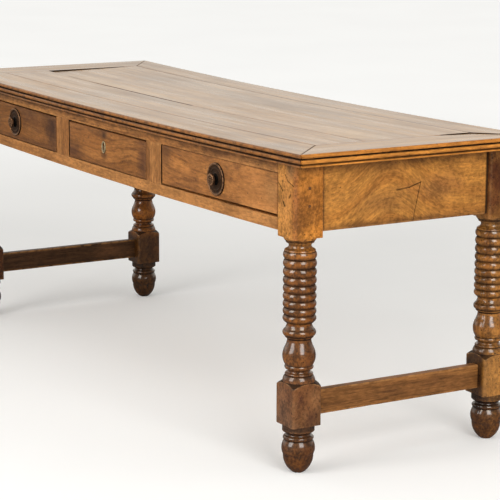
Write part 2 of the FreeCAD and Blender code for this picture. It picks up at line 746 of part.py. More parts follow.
def drawer(width):
    # Pieces of a drawer for an opening of this width, made at mid-length.
    rise = chord_rise(width)
    half = width / 2 - FRONT_GAP
    inner = half - DRAWER_SIDE
    front_y = RAIL_FRONT_Y
    front_back = front_y + DRAWER_FRONT
    end_y = DRAWER_END_Y
    back_y = end_y - DRAWER_BACK
    front_low = SEAT_Z + rise + FRONT_GAP
    front_high = CEILING_Z - FRONT_GAP
    side_low = SEAT_Z + rise + RUN_GAP
    side_high = front_high - SIDE_DROP
    bottom_low = side_low + BOTTOM_RISE
    bottom_high = bottom_low + DRAWER_BOTTOM
    back_low = bottom_high + JOINT_GAP
    back_high = side_high - BACK_DROP
    groove = BOTTOM_GROOVE - JOINT_GAP

    panel = box(-inner - groove, inner + groove, front_back, end_y, bottom_low, bottom_high)
    lip = box(-inner, inner, front_back - groove, front_back, bottom_low, bottom_high)
    bottom = panel.fuse(lip).removeSplitter()
    channel = box(
        -inner - BOTTOM_GROOVE, inner + BOTTOM_GROOVE, front_back, end_y + CUT_OVER,
        bottom_low - JOINT_GAP, bottom_high + JOINT_GAP,
    )
    slot = box(
        -inner, inner, front_back - BOTTOM_GROOVE, front_back + CUT_OVER,
        bottom_low - JOINT_GAP, bottom_high + JOINT_GAP,
    )
    front = box(-half, half, front_y, front_back, front_low, front_high).cut(slot)
    back = box(-half, half, back_y, end_y, back_low, back_high)
    sides = {}
    for name, x0, x1 in (("left", -half, -inner), ("right", inner, half)):
        front_tails = (front_back, front_y + LAP, bottom_high, side_high)
        back_tails = (back_y, end_y, back_low, back_high)
        plank = box(x0, x1, front_y + LAP, end_y, side_low, side_high)
        front_waste = box(x0, x1, front_y + LAP, front_back, side_low, side_high)
        back_waste = box(x0, x1, back_y, end_y, back_low, back_high)
        front_waste = front_waste.cut(tails(x0, x1, *front_tails))
        back_waste = back_waste.cut(tails(x0, x1, *back_tails))
        sides[name] = plank.cut([front_waste, back_waste, channel]).removeSplitter()
        socket_x0 = x0 - JOINT_GAP
        socket_x1 = x1 + JOINT_GAP
        front = front.cut(tails(socket_x0, socket_x1, *front_tails, JOINT_GAP))
        back = back.cut(tails(socket_x0, socket_x1, *back_tails, JOINT_GAP))
    return {
        "front": front,
        "side_left": sides["left"],
        "side_right": sides["right"],
        "back": back,
        "bottom": bottom,
    }


# Knobs of the side drawers, made on the drawer front at mid-length

def knob_axis_point(y):
    # On the knob's axis, at half the height of the drawer front.
    rise = chord_rise(SIDE_OPENING)
    return Vector(0, y, (SEAT_Z + rise + CEILING_Z) / 2)


def knob_turning(points):
    # A turning about the knob's axis from (radius, reach before the drawer front) pairs and arcs.
    centre = knob_axis_point(RAIL_FRONT_Y)

    def place(pair):
        radius, reach = pair
        return Vector(radius, RAIL_FRONT_Y - reach, centre.z)

    edges = []
    start = place(points[0])
    for step in points[1:] + points[:1]:
        if isinstance(step[0], tuple):
            end = place(step[1])
            edges.append(arc(start, place(step[0]), end))
        else:
            end = place(step)
            edges.append(line(start, end))
        start = end
    return turned(edges, centre, Vector(0, 1, 0))


def knob_plate():
    # A dished round plate with a rolled rim and a boss round the shank.
    bore = SHANK_RADIUS + JOINT_GAP
    rim_in = PLATE_RADIUS - PLATE_RIM_WIDTH
    rim_mid = PLATE_RADIUS - PLATE_RIM_WIDTH / 2
    dish = (rim_in + BOSS_RADIUS) / 2
    return knob_turning([
        (bore, 0.0),
        (PLATE_RADIUS, 0.0),
        (PLATE_RADIUS, PLATE_FLOOR / 2),
        ((rim_mid, PLATE_RIM), (rim_in, PLATE_DISH_EDGE)),
        ((dish, PLATE_FLOOR), (BOSS_RADIUS, PLATE_DISH_EDGE)),
        ((BOSS_RADIUS - BOSS_ROUND, BOSS_HEIGHT - BOSS_ROUND / 2), (KNOB_NECK, BOSS_HEIGHT)),
        (bore, BOSS_HEIGHT),
    ])


def knob():
    # Turned head on a neck, and the shank that passes through the plate and the drawer front.
    head_back = KNOB_REACH - KNOB_HEAD
    head_mid = KNOB_REACH - KNOB_HEAD / 2
    ring_out = KNOB_RING + KNOB_RING_DEPTH
    ring_in = KNOB_RING - KNOB_RING_DEPTH
    floor = KNOB_REACH - KNOB_RING_DEPTH
    seat = BOSS_HEIGHT + JOINT_GAP
    inside = -DRAWER_FRONT - NUT_THICK - JOINT_GAP
    return knob_turning([
        (0.0, inside),
        (SHANK_RADIUS, inside),
        (SHANK_RADIUS, seat),
        (KNOB_NECK, seat),
        ((KNOB_WAIST, (seat + head_back) / 2), (KNOB_NECK, head_back)),
        (KNOB_RADIUS - KNOB_BACK_ROUND, head_back),
        ((KNOB_RADIUS, head_mid), (KNOB_RADIUS - KNOB_FACE_ROUND, KNOB_REACH)),
        (ring_out, KNOB_REACH),
        (KNOB_RING, floor),
        (ring_in, KNOB_REACH),
        (0.0, KNOB_REACH),
    ])


def knob_bore(grow):
    base = knob_axis_point(RAIL_FRONT_Y - KNOB_REACH)
    reach = KNOB_REACH + DRAWER_FRONT + NUT_THICK + CUT_OVER
    return Part.makeCylinder(SHANK_RADIUS + grow, reach, base, Vector(0, 1, 0))


def knob_nut():
    # Square nut on the shank, inside the drawer.
    y0 = RAIL_FRONT_Y + DRAWER_FRONT
    centre = knob_axis_point(y0)
    half = NUT_WIDTH / 2
    block = box(-half, half, y0, y0 + NUT_THICK, centre.z - half, centre.z + half)
    edges = [edge for edge in block.Edges if edge.BoundBox.YLength < NUT_THICK / 2
             and edge.BoundBox.YMin > y0 + NUT_THICK / 2]
    return block.makeChamfer(NUT_CHAMFER, edges).cut(knob_bore(JOINT_GAP))


# Lock of the centre drawer, made on the drawer front at mid-length

def lock_top():
    return CEILING_Z - FRONT_GAP


def lock_bottom():
    return KEYHOLE_Z - LOCK_BELOW_KEY


def keyhole(y0, y1):
    # Round hole over a slot, through everything from y0 to y1.
    round_part = Part.makeCylinder(
        KEYHOLE_RADIUS, y1 - y0, Vector(KEYHOLE_X, y0, KEYHOLE_Z + KEYHOLE_DROP / 2), Vector(0, 1, 0),
    )
    half = KEYHOLE_SLOT / 2
    slot = box(
        KEYHOLE_X - half, KEYHOLE_X + half, y0, y1,
        KEYHOLE_Z - KEYHOLE_DROP / 2, KEYHOLE_Z + KEYHOLE_DROP / 2,
    )
    return round_part.fuse(slot).removeSplitter()


def oval(width, height, y0, y1):
    ellipse = Part.Ellipse(
        Vector(KEYHOLE_X, y0, KEYHOLE_Z + height / 2), Vector(KEYHOLE_X + width / 2, y0, KEYHOLE_Z),
        Vector(KEYHOLE_X, y0, KEYHOLE_Z),
    )
    return Part.Face(Part.Wire(ellipse.toShape())).extrude(Vector(0, y1 - y0, 0))


def escutcheon():
    # Oval plate with a raised rim on the drawer front, pierced by the keyhole.
    face = RAIL_FRONT_Y - ESCUTCHEON_THICK
    lip = face - ESCUTCHEON_RIM_LIFT
    plate = oval(ESCUTCHEON_WIDTH, ESCUTCHEON_HEIGHT, lip, RAIL_FRONT_Y)
    inner_width = ESCUTCHEON_WIDTH - 2 * ESCUTCHEON_RIM
    inner_height = ESCUTCHEON_HEIGHT - 2 * ESCUTCHEON_RIM
    dish = oval(inner_width, inner_height, lip - CUT_OVER, face)
    return plate.cut([dish, keyhole(lip - CUT_OVER, RAIL_FRONT_Y + CUT_OVER)])


def lock_recess(grow):
    # Space in the back of the drawer front for the case and its flanged plate.
    back_y = RAIL_FRONT_Y + DRAWER_FRONT
    half = LOCK_WIDTH / 2 + grow
    case = box(
        KEYHOLE_X - half, KEYHOLE_X + half, back_y - LOCK_DEPTH - grow, back_y + grow,
        lock_bottom() - grow, lock_top() + grow,
    )
    wide = half + LOCK_FLANGE
    plate = box(
        KEYHOLE_X - wide, KEYHOLE_X + wide, back_y - LOCK_WALL - grow, back_y + grow,
        lock_bottom() - grow, lock_top() + grow,
    )
    return case.fuse(plate).removeSplitter()


def lock_bolt(grow=0.0):
    # The bolt, thrown upwards. At rest its top is level with the case.
    half = BOLT_WIDTH / 2 + grow
    middle_y = RAIL_FRONT_Y + DRAWER_FRONT - LOCK_DEPTH / 2
    deep = BOLT_THICK / 2 + grow
    return box(
        KEYHOLE_X - half, KEYHOLE_X + half, middle_y - deep, middle_y + deep,
        KEYHOLE_Z + BOLT_ABOVE_KEY - grow, lock_top() + grow,
    )


def lock_screws(grow=0.0):
    back_y = RAIL_FRONT_Y + DRAWER_FRONT
    offset = (LOCK_WIDTH + LOCK_FLANGE) / 2
    shapes = []
    for side in (-1, 1):
        for z in (lock_bottom() + LOCK_SCREW_INSET, lock_top() - LOCK_SCREW_INSET):
            base = Vector(KEYHOLE_X + side * offset, back_y, z)
            inward = Vector(0, -1, 0)
            radius = LOCK_SCREW_RADIUS + grow
            shank = Part.makeCylinder(radius, LOCK_SCREW_LENGTH + grow, base, inward)
            head = Part.makeCone(radius + LOCK_SCREW_RADIUS, radius, LOCK_SCREW_RADIUS, base, inward)
            shapes.append(shank.fuse(head).removeSplitter())
    return shapes


def lock_case():
    # Flanged iron case, hollow, with a slot for the bolt in its top and the keyhole in its face.
    back_y = RAIL_FRONT_Y + DRAWER_FRONT
    half = LOCK_WIDTH / 2 - LOCK_WALL
    hollow = box(
        KEYHOLE_X - half, KEYHOLE_X + half, back_y - LOCK_DEPTH + LOCK_WALL, back_y - LOCK_WALL,
        lock_bottom() + LOCK_WALL, lock_top() - LOCK_WALL,
    )
    mouth = lock_bolt(RUN_GAP)
    key = keyhole(RAIL_FRONT_Y, back_y - LOCK_WALL)
    return lock_recess(0).cut([hollow, mouth, key] + lock_screws(JOINT_GAP))


def bolt_pocket():
    # Pocket in the upper rail that takes the thrown bolt.
    pocket = lock_bolt(2 * RUN_GAP)
    top = lock_top()
    band = box(
        pocket.BoundBox.XMin, pocket.BoundBox.XMax, pocket.BoundBox.YMin, pocket.BoundBox.YMax,
        top - CUT_OVER, top + BOLT_TRAVEL + 2 * RUN_GAP,
    )
    return settle(band, 0)


# Assembly

def top_pieces():
    grooves = border_grooves()
    holes = top_screws(JOINT_GAP)
    right = end_border().cut(grooves + holes)
    front = top_board(FRONT_JOINT_Y + JOINT_GAP, BOARD_JOINT_Y, True, False)
    back = top_board(BOARD_JOINT_Y + JOINT_GAP, BACK_JOINT_Y - JOINT_GAP, True, True)
    return {
        "top_border_front": long_border(-1, FRONT_BORDER).cut(grooves + holes),
        "top_border_back": long_border(1, BACK_BORDER).cut(grooves + holes),
        "top_border_left": mirrored(right),
        "top_border_right": right,
        "top_board_front": front.cut(holes),
        "top_board_back": back.cut(holes),
    }


def frame_pieces():
    holes = top_screws(JOINT_GAP)
    upper = front_rail(CEILING_Z, APRON_TOP)
    pieces = {
        "front_rail_upper": upper.cut(holes + [bolt_pocket()]),
        "front_rail_lower": front_rail(APRON_BOTTOM, SEAT_Z),
        "back_apron": back_apron(),
    }
    pairs = {
        "leg_front": leg(-1),
        "leg_back": leg(1),
        "end_apron": end_apron(),
        "stretcher": stretcher(),
        "divider": divider(),
        "runner_middle": middle_bearer(*RUNNER_SPAN),
        "runner_end": end_bearer(*RUNNER_SPAN),
        "kicker_middle": middle_bearer(*KICKER_SPAN).cut(holes),
        "kicker_end": end_bearer(*KICKER_SPAN).cut(holes),
        "guide_middle": middle_guide(),
        "guide_end": end_guide(),
    }
    for name, shape in pairs.items():
        pieces[name + "_right"] = shape
        pieces[name + "_left"] = mirrored(shape)
    right_pegs = pegs()
    pieces["tenon_pegs"] = Part.makeCompound(right_pegs + [mirrored(peg) for peg in right_pegs])
    pieces["drawer_stops"] = Part.makeCompound(drawer_stops())
    pieces["top_screws"] = Part.makeCompound(top_screws())
    return pieces


def drawer_pieces():
    pieces = {}
    for name, (centre, width) in drawer_places().items():
        parts = drawer(width)
        if name == "centre":
            cuts = [lock_recess(JOINT_GAP), keyhole(RAIL_FRONT_Y - CUT_OVER, RAIL_FRONT_Y + DRAWER_FRONT)]
            parts["front"] = parts["front"].cut(cuts + lock_screws(JOINT_GAP))
        else:
            parts["front"] = parts["front"].cut(knob_bore(JOINT_GAP))
            for label, shape in (("knob_plate", knob_plate()), ("knob", knob()), ("knob_nut", knob_nut())):
                pieces[label + "_" + name] = settle(shape, centre)
        for part, shape in parts.items():
            pieces["drawer_" + name + "_" + part] = settle(shape, centre)
    pieces["escutcheon"] = settle(escutcheon(), 0)
    pieces["lock_case"] = settle(lock_case(), 0)
    pieces["lock_bolt"] = settle(lock_bolt(), 0)
    pieces["lock_screws"] = settle(Part.makeCompound(lock_screws()), 0)
    return pieces


def main():
    os.makedirs("parts", exist_ok=True)
    pieces = {**top_pieces(), **frame_pieces(), **drawer_pieces()}
    for name, shape in pieces.items():
        solids = shape.Solids
        sound = all(solid.isValid() for solid in solids)
        print(name, len(solids), "valid" if sound else "NOT VALID", round(shape.Volume / 1000, 1), "cm3")
        shape.exportStep("parts/" + name + ".step")


main()
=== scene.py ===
import bmesh
import bpy
import math
from mathutils import Matrix, Vector, noise


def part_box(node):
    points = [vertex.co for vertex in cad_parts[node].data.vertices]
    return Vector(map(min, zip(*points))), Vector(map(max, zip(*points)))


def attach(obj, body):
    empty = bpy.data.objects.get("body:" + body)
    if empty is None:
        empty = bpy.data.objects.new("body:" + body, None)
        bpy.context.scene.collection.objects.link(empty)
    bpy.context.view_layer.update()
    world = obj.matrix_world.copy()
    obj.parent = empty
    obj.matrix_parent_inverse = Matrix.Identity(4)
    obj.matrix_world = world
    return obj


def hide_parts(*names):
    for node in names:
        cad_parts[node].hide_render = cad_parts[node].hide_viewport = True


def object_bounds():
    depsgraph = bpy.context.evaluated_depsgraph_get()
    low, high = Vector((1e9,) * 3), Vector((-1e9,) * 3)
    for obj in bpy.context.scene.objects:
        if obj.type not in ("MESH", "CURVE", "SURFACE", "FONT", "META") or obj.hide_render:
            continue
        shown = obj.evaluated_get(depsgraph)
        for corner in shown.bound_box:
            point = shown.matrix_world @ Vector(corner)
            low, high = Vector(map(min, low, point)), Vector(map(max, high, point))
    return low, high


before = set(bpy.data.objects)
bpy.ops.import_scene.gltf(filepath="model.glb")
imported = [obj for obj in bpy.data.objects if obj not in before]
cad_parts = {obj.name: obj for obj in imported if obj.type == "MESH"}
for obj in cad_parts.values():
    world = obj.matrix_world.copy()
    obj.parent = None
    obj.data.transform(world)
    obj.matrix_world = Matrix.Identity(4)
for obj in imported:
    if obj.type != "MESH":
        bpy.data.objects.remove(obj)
cadBounds = [list(corner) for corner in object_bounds()]
scene = bpy.context.scene
scene.view_settings.view_transform = "Standard"

# The table's own measures, from the frame
frontEdgeY = cadBounds[0][1]
halfLength, backEdgeY, topHeight = cadBounds[1]
legLow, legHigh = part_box("leg_back_right")
legInX, legOutX = legLow.x, legHigh.x
legInY, legOutY = legLow.y, legHigh.y
legMid = (legLow + legHigh) / 2
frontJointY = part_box("top_border_front")[1].y
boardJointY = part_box("top_board_front")[1].y
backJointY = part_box("top_border_back")[0].y
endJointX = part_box("top_border_right")[0].x
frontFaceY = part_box("front_rail_lower")[0].y

# The long members sag along one arc
settledArc = {"sag": 0.010}
arcRadius = halfLength ** 2 / (2 * settledArc["sag"]) + settledArc["sag"] / 2
arcAxisZ = topHeight - settledArc["sag"] + arcRadius


def settled(x, z):  # height at x of a line that is z high at the table's ends
    return arcAxisZ - math.sqrt((arcAxisZ - z) ** 2 + halfLength ** 2 - x ** 2)


def unsettled(x, height):  # the other way round
    return arcAxisZ - math.sqrt((arcAxisZ - height) ** 2 - halfLength ** 2 + x ** 2)


def smooth(value, low, high):
    share = min(1.0, max(0.0, (value - low) / (high - low)))
    return share * share * (3 - 2 * share)


def tone(colour, shade=1.0):  # screen colour to the shader's linear one
    shares = [value / 255 for value in colour]
    linear = [s / 12.92 if s <= 0.04045 else ((s + 0.055) / 1.055) ** 2.4 for s in shares]
    return tuple(value * shade for value in linear) + (1.0,)


# Node helpers, for shader and geometry trees alike

def operator(operation):  # a method that puts a maths node
    return lambda self, other=0.0: self.bench.put("ShaderNodeMath", {0: self, 1: other}, operation=operation)


class Wire:  # a node's output, so that node maths reads as maths
    __add__ = operator("ADD")
    __sub__ = operator("SUBTRACT")
    __mul__ = operator("MULTIPLY")
    __truediv__ = operator("DIVIDE")
    __gt__ = operator("GREATER_THAN")
    __lt__ = operator("LESS_THAN")
    __abs__ = operator("ABSOLUTE")
    most = operator("MAXIMUM")
    least = operator("MINIMUM")
    whole = operator("FLOOR")
    root = operator("SQRT")
    exponent = operator("EXPONENT")
    cosine = operator("COSINE")
    sine = operator("SINE")

    def __init__(self, bench, socket):
        self.bench, self.socket = bench, socket

    def __rsub__(self, other):
        return self.bench.put("ShaderNodeMath", {0: other, 1: self}, operation="SUBTRACT")

    def also(self, name):  # another output of the same node
        return Wire(self.bench, self.socket.node.outputs[name])

    def clamped(self):
        self.socket.node.use_clamp = True
        return self


class Bench:  # puts nodes into one tree and wires them
    def __init__(self, tree):
        self.tree = tree

    def plug(self, value, socket):
        if isinstance(value, Wire):
            self.tree.links.new(value.socket, socket)
        else:
            socket.default_value = value

    def fill(self, node, values):
        for key, value in values.items():
            self.plug(value, node.inputs[key])

    def put(self, kind, values=None, out=0, **settings):
        node = self.tree.nodes.new(kind)
        for key, value in settings.items():
            setattr(node, key, value)
        self.fill(node, values or {})
        return Wire(self, node.outputs[out])

    def close(self, kind, surface):  # the last node
        self.fill(self.tree.nodes.new(kind), {"Surface": surface})

    def place(self, group, values):
        node = self.tree.nodes.new("ShaderNodeGroup")
        node.node_tree = group
        self.fill(node, values)
        return {socket.name: Wire(self, socket) for socket in node.outputs}

    def vector(self, operation, first, second=(0, 0, 0), out=0, **more):
        return self.put("ShaderNodeVectorMath", {0: first, 1: second, **more}, out, operation=operation)

    def dot(self, first, second):
        return self.vector("DOT_PRODUCT", first, second, "Value")

    def parts(self, vector):
        x = self.put("ShaderNodeSeparateXYZ", {0: vector})
        return x, x.also("Y"), x.also("Z")

    def join(self, x, y, z):
        return self.put("ShaderNodeCombineXYZ", {0: x, 1: y, 2: z})

    def fade(self, value, low, high, start=0.0, end=1.0):
        values = dict(enumerate((value, low, high, start, end)))
        return self.put("ShaderNodeMapRange", values, interpolation_type="SMOOTHSTEP")

    def choose(self, share, first, second):
        return self.put("ShaderNodeMix", {0: share, 2: first, 3: second}, data_type="FLOAT")

    def blend(self, share, first, second, mode="MIX"):
        values = {0: share, 6: first, 7: second}
        return self.put("ShaderNodeMix", values, 2, data_type="RGBA", blend_type=mode)

    def grey(self, value):
        return self.put("ShaderNodeCombineColor", {0: value, 1: value, 2: value})

    def cloud(self, vector, scale, detail=3.0, roughness=0.5):
        values = {"Vector": vector, "Scale": scale, "Detail": detail, "Roughness": roughness}
        return self.put("ShaderNodeTexNoise", values)

    def stretch(self, vector, scale, turn=(0, 0, 0)):
        return self.put("ShaderNodeMapping", {"Vector": vector, "Rotation": turn, "Scale": scale})

    def swayed(self, vector, drift, reach):  # a place that wanders with a cloud's colour
        sway = self.vector("SUBTRACT", drift.also("Color"), (0.5, 0.5, 0.5))
        return self.vector("ADD", vector, self.vector("SCALE", sway, Scale=reach))

    def attribute(self, name):
        return self.put("ShaderNodeAttribute", out="Fac", attribute_name=name)


def newTree(name, kind, inputs, outputs):  # sockets come as labels by their kind
    tree = bpy.data.node_groups.new(name, kind)
    for way, sockets in (("INPUT", inputs), ("OUTPUT", outputs)):
        for socketKind, labels in sockets.items():
            for label in labels:
                tree.interface.new_socket(label, in_out=way, socket_type="NodeSocket" + socketKind)
    bench = Bench(tree)
    given = {socket.name: Wire(bench, socket) for socket in tree.nodes.new("NodeGroupInput").outputs}
    return bench, given, tree.nodes.new("NodeGroupOutput").inputs


def newMaterial(name):
    material = bpy.data.materials.new(name)
    material.use_nodes = True
    material.node_tree.nodes.clear()
    return material, Bench(material.node_tree)


# Shared effects. A cloud is scale, detail and roughness, and From is where on it an effect sets in.

walnutLines = {  # scale along and across the grain, detail and roughness
    "drift": (1.6, 4.5, 2.0, 0.5), "band": (1.1, 24, 3.0, 0.5), "streak": (3.5, 120, 4.0, 0.6),
    "fibre": (9, 330, 3.0, 0.5), "pore": (34, 620, 1.0, 0.5),
}
walnutFrom = {"band": (0.34, 0.66), "streak": (0.44, 0.7), "fibre": (0.45, 0.72), "pore": (0.6, 0.72)}
poreShare = 0.45


def makeGrain():  # walnut with its grain along X
    bench, given, result = newTree(
        "walnut grain", "ShaderNodeTree",
        {"Vector": ["Vector"], "Color": ["Pale", "Mid", "Dark"], "Float": ["Figure", "Streak", "Fibre"]},
        {"Color": ["Color"], "Float": ["Height"]},
    )

    def lines(name, vector):
        along, across, detail, roughness = walnutLines[name]
        return bench.cloud(bench.stretch(vector, (along, across, across)), 1.0, detail, roughness)

    warped = bench.swayed(given["Vector"], lines("drift", given["Vector"]), given["Figure"])
    fibre = lines("fibre", warped)
    band, streak, pore = (
        bench.fade(lines(name, warped), *walnutFrom[name]) for name in ("band", "streak", "pore")
    )
    fine = bench.fade(fibre, *walnutFrom["fibre"])
    colour = bench.blend(band, given["Mid"], given["Pale"])
    for share in (streak * given["Streak"], fine * given["Fibre"], pore * poreShare):
        colour = bench.blend(share, colour, given["Dark"])
    bench.plug(colour, result["Color"])
    bench.plug(fibre - pore, result["Height"])
    return bench.tree


ageShape = {
    "stain": (5.0, 5.0, 0.6), "stainFrom": (0.48, 0.72), "broad": (30.0, 3.0, 0.5),
    "fine": (150.0, 4.0, 0.65), "fineShare": 0.62, "mottleFrom": (0.38, 0.62), "mottleDark": 0.3,
    "mottlePale": 0.16, "rub": (45.0, 4.0, 0.6), "rubFrom": (0.36, 0.62), "fill": (30.0, 3.0, 0.5),
    "fillFrom": (0.12, 0.5), "fillLeast": 0.45, "mottleRelief": 1.5, "speckRelief": 2.0,
    "specks": [(62.0, 0.17, 0.2), (140.0, 0.28, 0.22)],  # scale, reach and chance
    "speckCore": 0.05, "speckShare": 0.85,
}


def makeAge():  # stains, mottle, specks, rubbed edges, and dirt with painted shade in the hollows
    bench, given, result = newTree(
        "age", "ShaderNodeTree",
        {"Color": ["Color", "Stain Colour", "Wear Colour", "Grime Colour"], "Vector": ["Vector", "Along"],
         "Float": ["Grime", "Wear", "Stain", "Specks", "Mottle"]},
        {"Color": ["Color"], "Float": ["Height"]},
    )
    s, where = ageShape, given["Vector"]
    stain = bench.fade(bench.cloud(where, *s["stain"]), *s["stainFrom"])
    colour = bench.blend(stain * given["Stain"], given["Color"], given["Stain Colour"])
    fine, broad = (bench.cloud(given["Along"], *s[name]) for name in ("fine", "broad"))
    mottle = fine * s["fineShare"] + broad * (1 - s["fineShare"])
    deep, pale = 1.0 - given["Mottle"] * s["mottleDark"], given["Mottle"] * s["mottlePale"] + 1.0
    shade = bench.grey(bench.fade(mottle, *s["mottleFrom"], deep, pale))
    colour = bench.blend(1.0, colour, shade, "MULTIPLY")
    rubbed = bench.fade(bench.cloud(where, *s["rub"]), *s["rubFrom"])
    colour = bench.blend(rubbed * given["Wear"], colour, given["Wear Colour"])
    filled = bench.fade(bench.cloud(where, *s["fill"]), *s["fillFrom"], s["fillLeast"], 1.0)
    colour = bench.blend((filled * given["Grime"]).clamped(), colour, given["Grime Colour"])
    marks = []
    for scale, reach, chance in s["specks"]:
        cell = bench.put("ShaderNodeTexVoronoi", {"Vector": where, "Scale": scale})
        lot = bench.put("ShaderNodeSeparateColor", {0: cell.also("Color")})
        chosen = lot < given["Specks"] * chance
        marks.append(bench.fade(cell, reach, s["speckCore"]) * chosen)
    mark = marks[0].most(marks[1])
    bench.plug(bench.blend(mark * s["speckShare"], colour, given["Grime Colour"]), result["Color"])
    bench.plug(mottle * s["mottleRelief"] - mark * s["speckRelief"], result["Height"])
    return bench.tree


lineShape = {"sway": (28.0, 2.0, 0.5), "core": 0.35}
spotShape = {"edge": (26.0, 5.0, 0.65), "ragged": 1.4, "reach": 1.5}
rimShape = {"edge": (40.0, 4.0, 0.6), "edgeFrom": (0.25, 0.75), "ragged": (0.3, 1.3)}


def makeLineMark():  # a joint line, crack or scratch between two points
    bench, given, result = newTree(
        "line mark", "ShaderNodeTree",
        {"Vector": ["Vector", "Start", "End"], "Float": ["Width", "Waver"]}, {"Float": ["Mask"]},
    )
    drift = bench.cloud(given["Vector"], *lineShape["sway"])
    here = bench.swayed(given["Vector"], drift, given["Waver"])
    run = bench.vector("SUBTRACT", given["End"], given["Start"])
    offset = bench.vector("SUBTRACT", here, given["Start"])
    share = (bench.dot(offset, run) / bench.dot(run, run)).clamped()
    gap = bench.vector("DISTANCE", offset, bench.vector("SCALE", run, Scale=share), "Value")
    bench.plug(bench.fade(gap, given["Width"], given["Width"] * lineShape["core"]), result["Mask"])
    return bench.tree


def makeSoftSpot():  # a cloudy patch about a centre
    bench, given, result = newTree(
        "soft spot", "ShaderNodeTree", {"Vector": ["Vector", "Centre", "Size"]}, {"Float": ["Mask"]},
    )
    offset = bench.vector("SUBTRACT", given["Vector"], given["Centre"])
    reach = bench.vector("LENGTH", bench.vector("DIVIDE", offset, given["Size"]), out="Value")
    s = spotShape
    ragged = bench.cloud(given["Vector"], *s["edge"]) * s["ragged"] - s["ragged"] / 2
    bench.plug(bench.fade(reach + ragged, s["reach"], 0.0), result["Mask"])
    return bench.tree


def makeRim():  # a band inside the outline of a drawer front
    bench, given, result = newTree(
        "front rim", "ShaderNodeTree",
        {"Vector": ["Vector", "Centre"], "Float": ["Half Width", "Half Height", "Slope", "Band"]},
        {"Float": ["Mask"]},
    )
    x, _, z = bench.parts(bench.vector("SUBTRACT", given["Vector"], given["Centre"]))
    level = z - x * given["Slope"]
    inside = (given["Half Width"] - abs(x)).least(given["Half Height"] - abs(level))
    s = rimShape
    ragged = bench.fade(bench.cloud(given["Vector"], *s["edge"]), *s["edgeFrom"], *s["ragged"])
    bench.plug(bench.fade(inside, given["Band"] * ragged, 0.0), result["Mask"])
    return bench.tree


grainGroup = makeGrain()
ageGroup = makeAge()
lineGroup = makeLineMark()
spotGroup = makeSoftSpot()
rimGroup = makeRim()
grainTurn = {"x": (0, 0, 0), "y": (0, 0, -math.pi / 2), "z": (0, math.pi / 2, 0)}

# Finishes. Tones are screen colours: pale, mid and dark.

topFinish = {
    "tones": [(190, 142, 86), (162, 117, 66), (108, 73, 38)], "figure": 0.04, "streak": 0.4, "fibre": 0.5,
    "stain": 0.45, "stainColour": (124, 87, 52), "wearColour": (180, 116, 54), "grimeColour": (38, 23, 12),
    "specks": 0.3, "mottle": 0.35, "run": 0.3, "gloss": (0.26, 0.34), "bump": 0.05, "specular": 0.1,
    "coat": 0.7, "coatIor": 1.5, "coatRough": 0.2,
}
mouldedEdge = {"figure": 0.03, "fibre": 0.4, "moreSpecks": 1.4, "moreMottle": 0.9, "polish": 0.35}
edgeFinish = {
    "end": dict(mouldedEdge, tones=[(224, 148, 62), (194, 118, 46), (104, 58, 22)], streak=0.6),
    "long": dict(mouldedEdge, tones=[(148, 98, 56), (122, 78, 44), (70, 42, 24)], streak=0.7),
}
frameFinish = {
    "tones": [(184, 126, 70), (162, 106, 56), (108, 66, 34)], "figure": 0.05, "streak": 0.75, "fibre": 0.45,
    "stain": 0.4, "stainColour": (118, 76, 44), "wearColour": (190, 136, 80), "grimeColour": (30, 17, 9),
    "specks": 1.0, "mottle": 1.1, "run": 0.35, "gloss": (0.4, 0.55), "bump": 0.35, "specular": 0.15,
    "coat": 0.0,
}
apronFinish = dict(
    frameFinish, tones=[(198, 135, 60), (182, 119, 50), (112, 68, 28)], figure=0.07, streak=0.4,
    fibre=0.25, stainColour=(124, 80, 40), mottle=1.3, run=0.6, specks=0.9,
)
legFinish = dict(
    frameFinish, tones=[(212, 144, 66), (184, 117, 48), (104, 58, 22)], gloss=(0.34, 0.46), coat=0.9,
    coatIor=1.75, coatRough=0.135, blockCoat=0.25, blockFrom=(0.56, 0.58), bump=0.22, stain=0.6, mottle=2.0,
    flatMottle=1.6, stainColour=(104, 60, 28), streak=0.18, fibre=0.12, run=0.85, specks=2.4, specular=0.1,
)
goldLegFinish = dict(
    legFinish, tones=[(228, 164, 82), (194, 130, 56), (84, 44, 15)], mottle=1.9, flatMottle=1.2, specks=3.4,
)
drawerFinish = dict(
    frameFinish, tones=[(180, 119, 62), (158, 101, 50), (104, 64, 34)], figure=0.12, stain=0.5,
    stainColour=(112, 72, 42), mottle=0.8,
)
stretcherTonesAndShade = {"right": dict(
    frameFinish, tones=[(152, 101, 52), (128, 83, 42), (76, 46, 23)], figure=0.02, mottle=1.0, streak=0.45,
    fibre=0.7,
)}
# the left stretcher's darker tones are darker wood and painted shade, for where it stands in the table's
# shade
stretcherTonesAndShade["left"] = dict(stretcherTonesAndShade["right"], tones=[(86, 57, 33), (68, 44, 25), (42, 26, 14)])
liningFinish = dict(
    frameFinish, tones=[(186, 152, 108), (164, 128, 86), (120, 88, 56)], figure=0.03, gloss=(0.6, 0.75),
    stain=0.3, stainColour=(122, 92, 62), specks=0.4,
)
pegFinish = dict(frameFinish, tones=[(104, 66, 34), (80, 50, 26), (46, 28, 14)], figure=0.0)
bronzeFinish = {  # tones of dull, plain and rubbed metal, and of its dirt and painted shadow
    "tones": [(40, 25, 15), (66, 43, 27), (154, 114, 82), (10, 6, 3)], "gloss": (0.34, 0.5), "metal": 0.55,
    "bump": 0.25, "specular": 0.15,
}
brassFinish = {
    "tones": [(126, 104, 70), (168, 146, 106), (206, 188, 150), (36, 25, 15)], "gloss": (0.34, 0.5),
    "metal": 0.6, "bump": 0.2, "specular": 0.5,
}
ironFinish = {
    "tones": [(52, 44, 38), (86, 76, 68), (140, 130, 120), (24, 18, 14)], "gloss": (0.45, 0.6),
    "metal": 0.85, "bump": 0.35, "specular": 0.5,
}


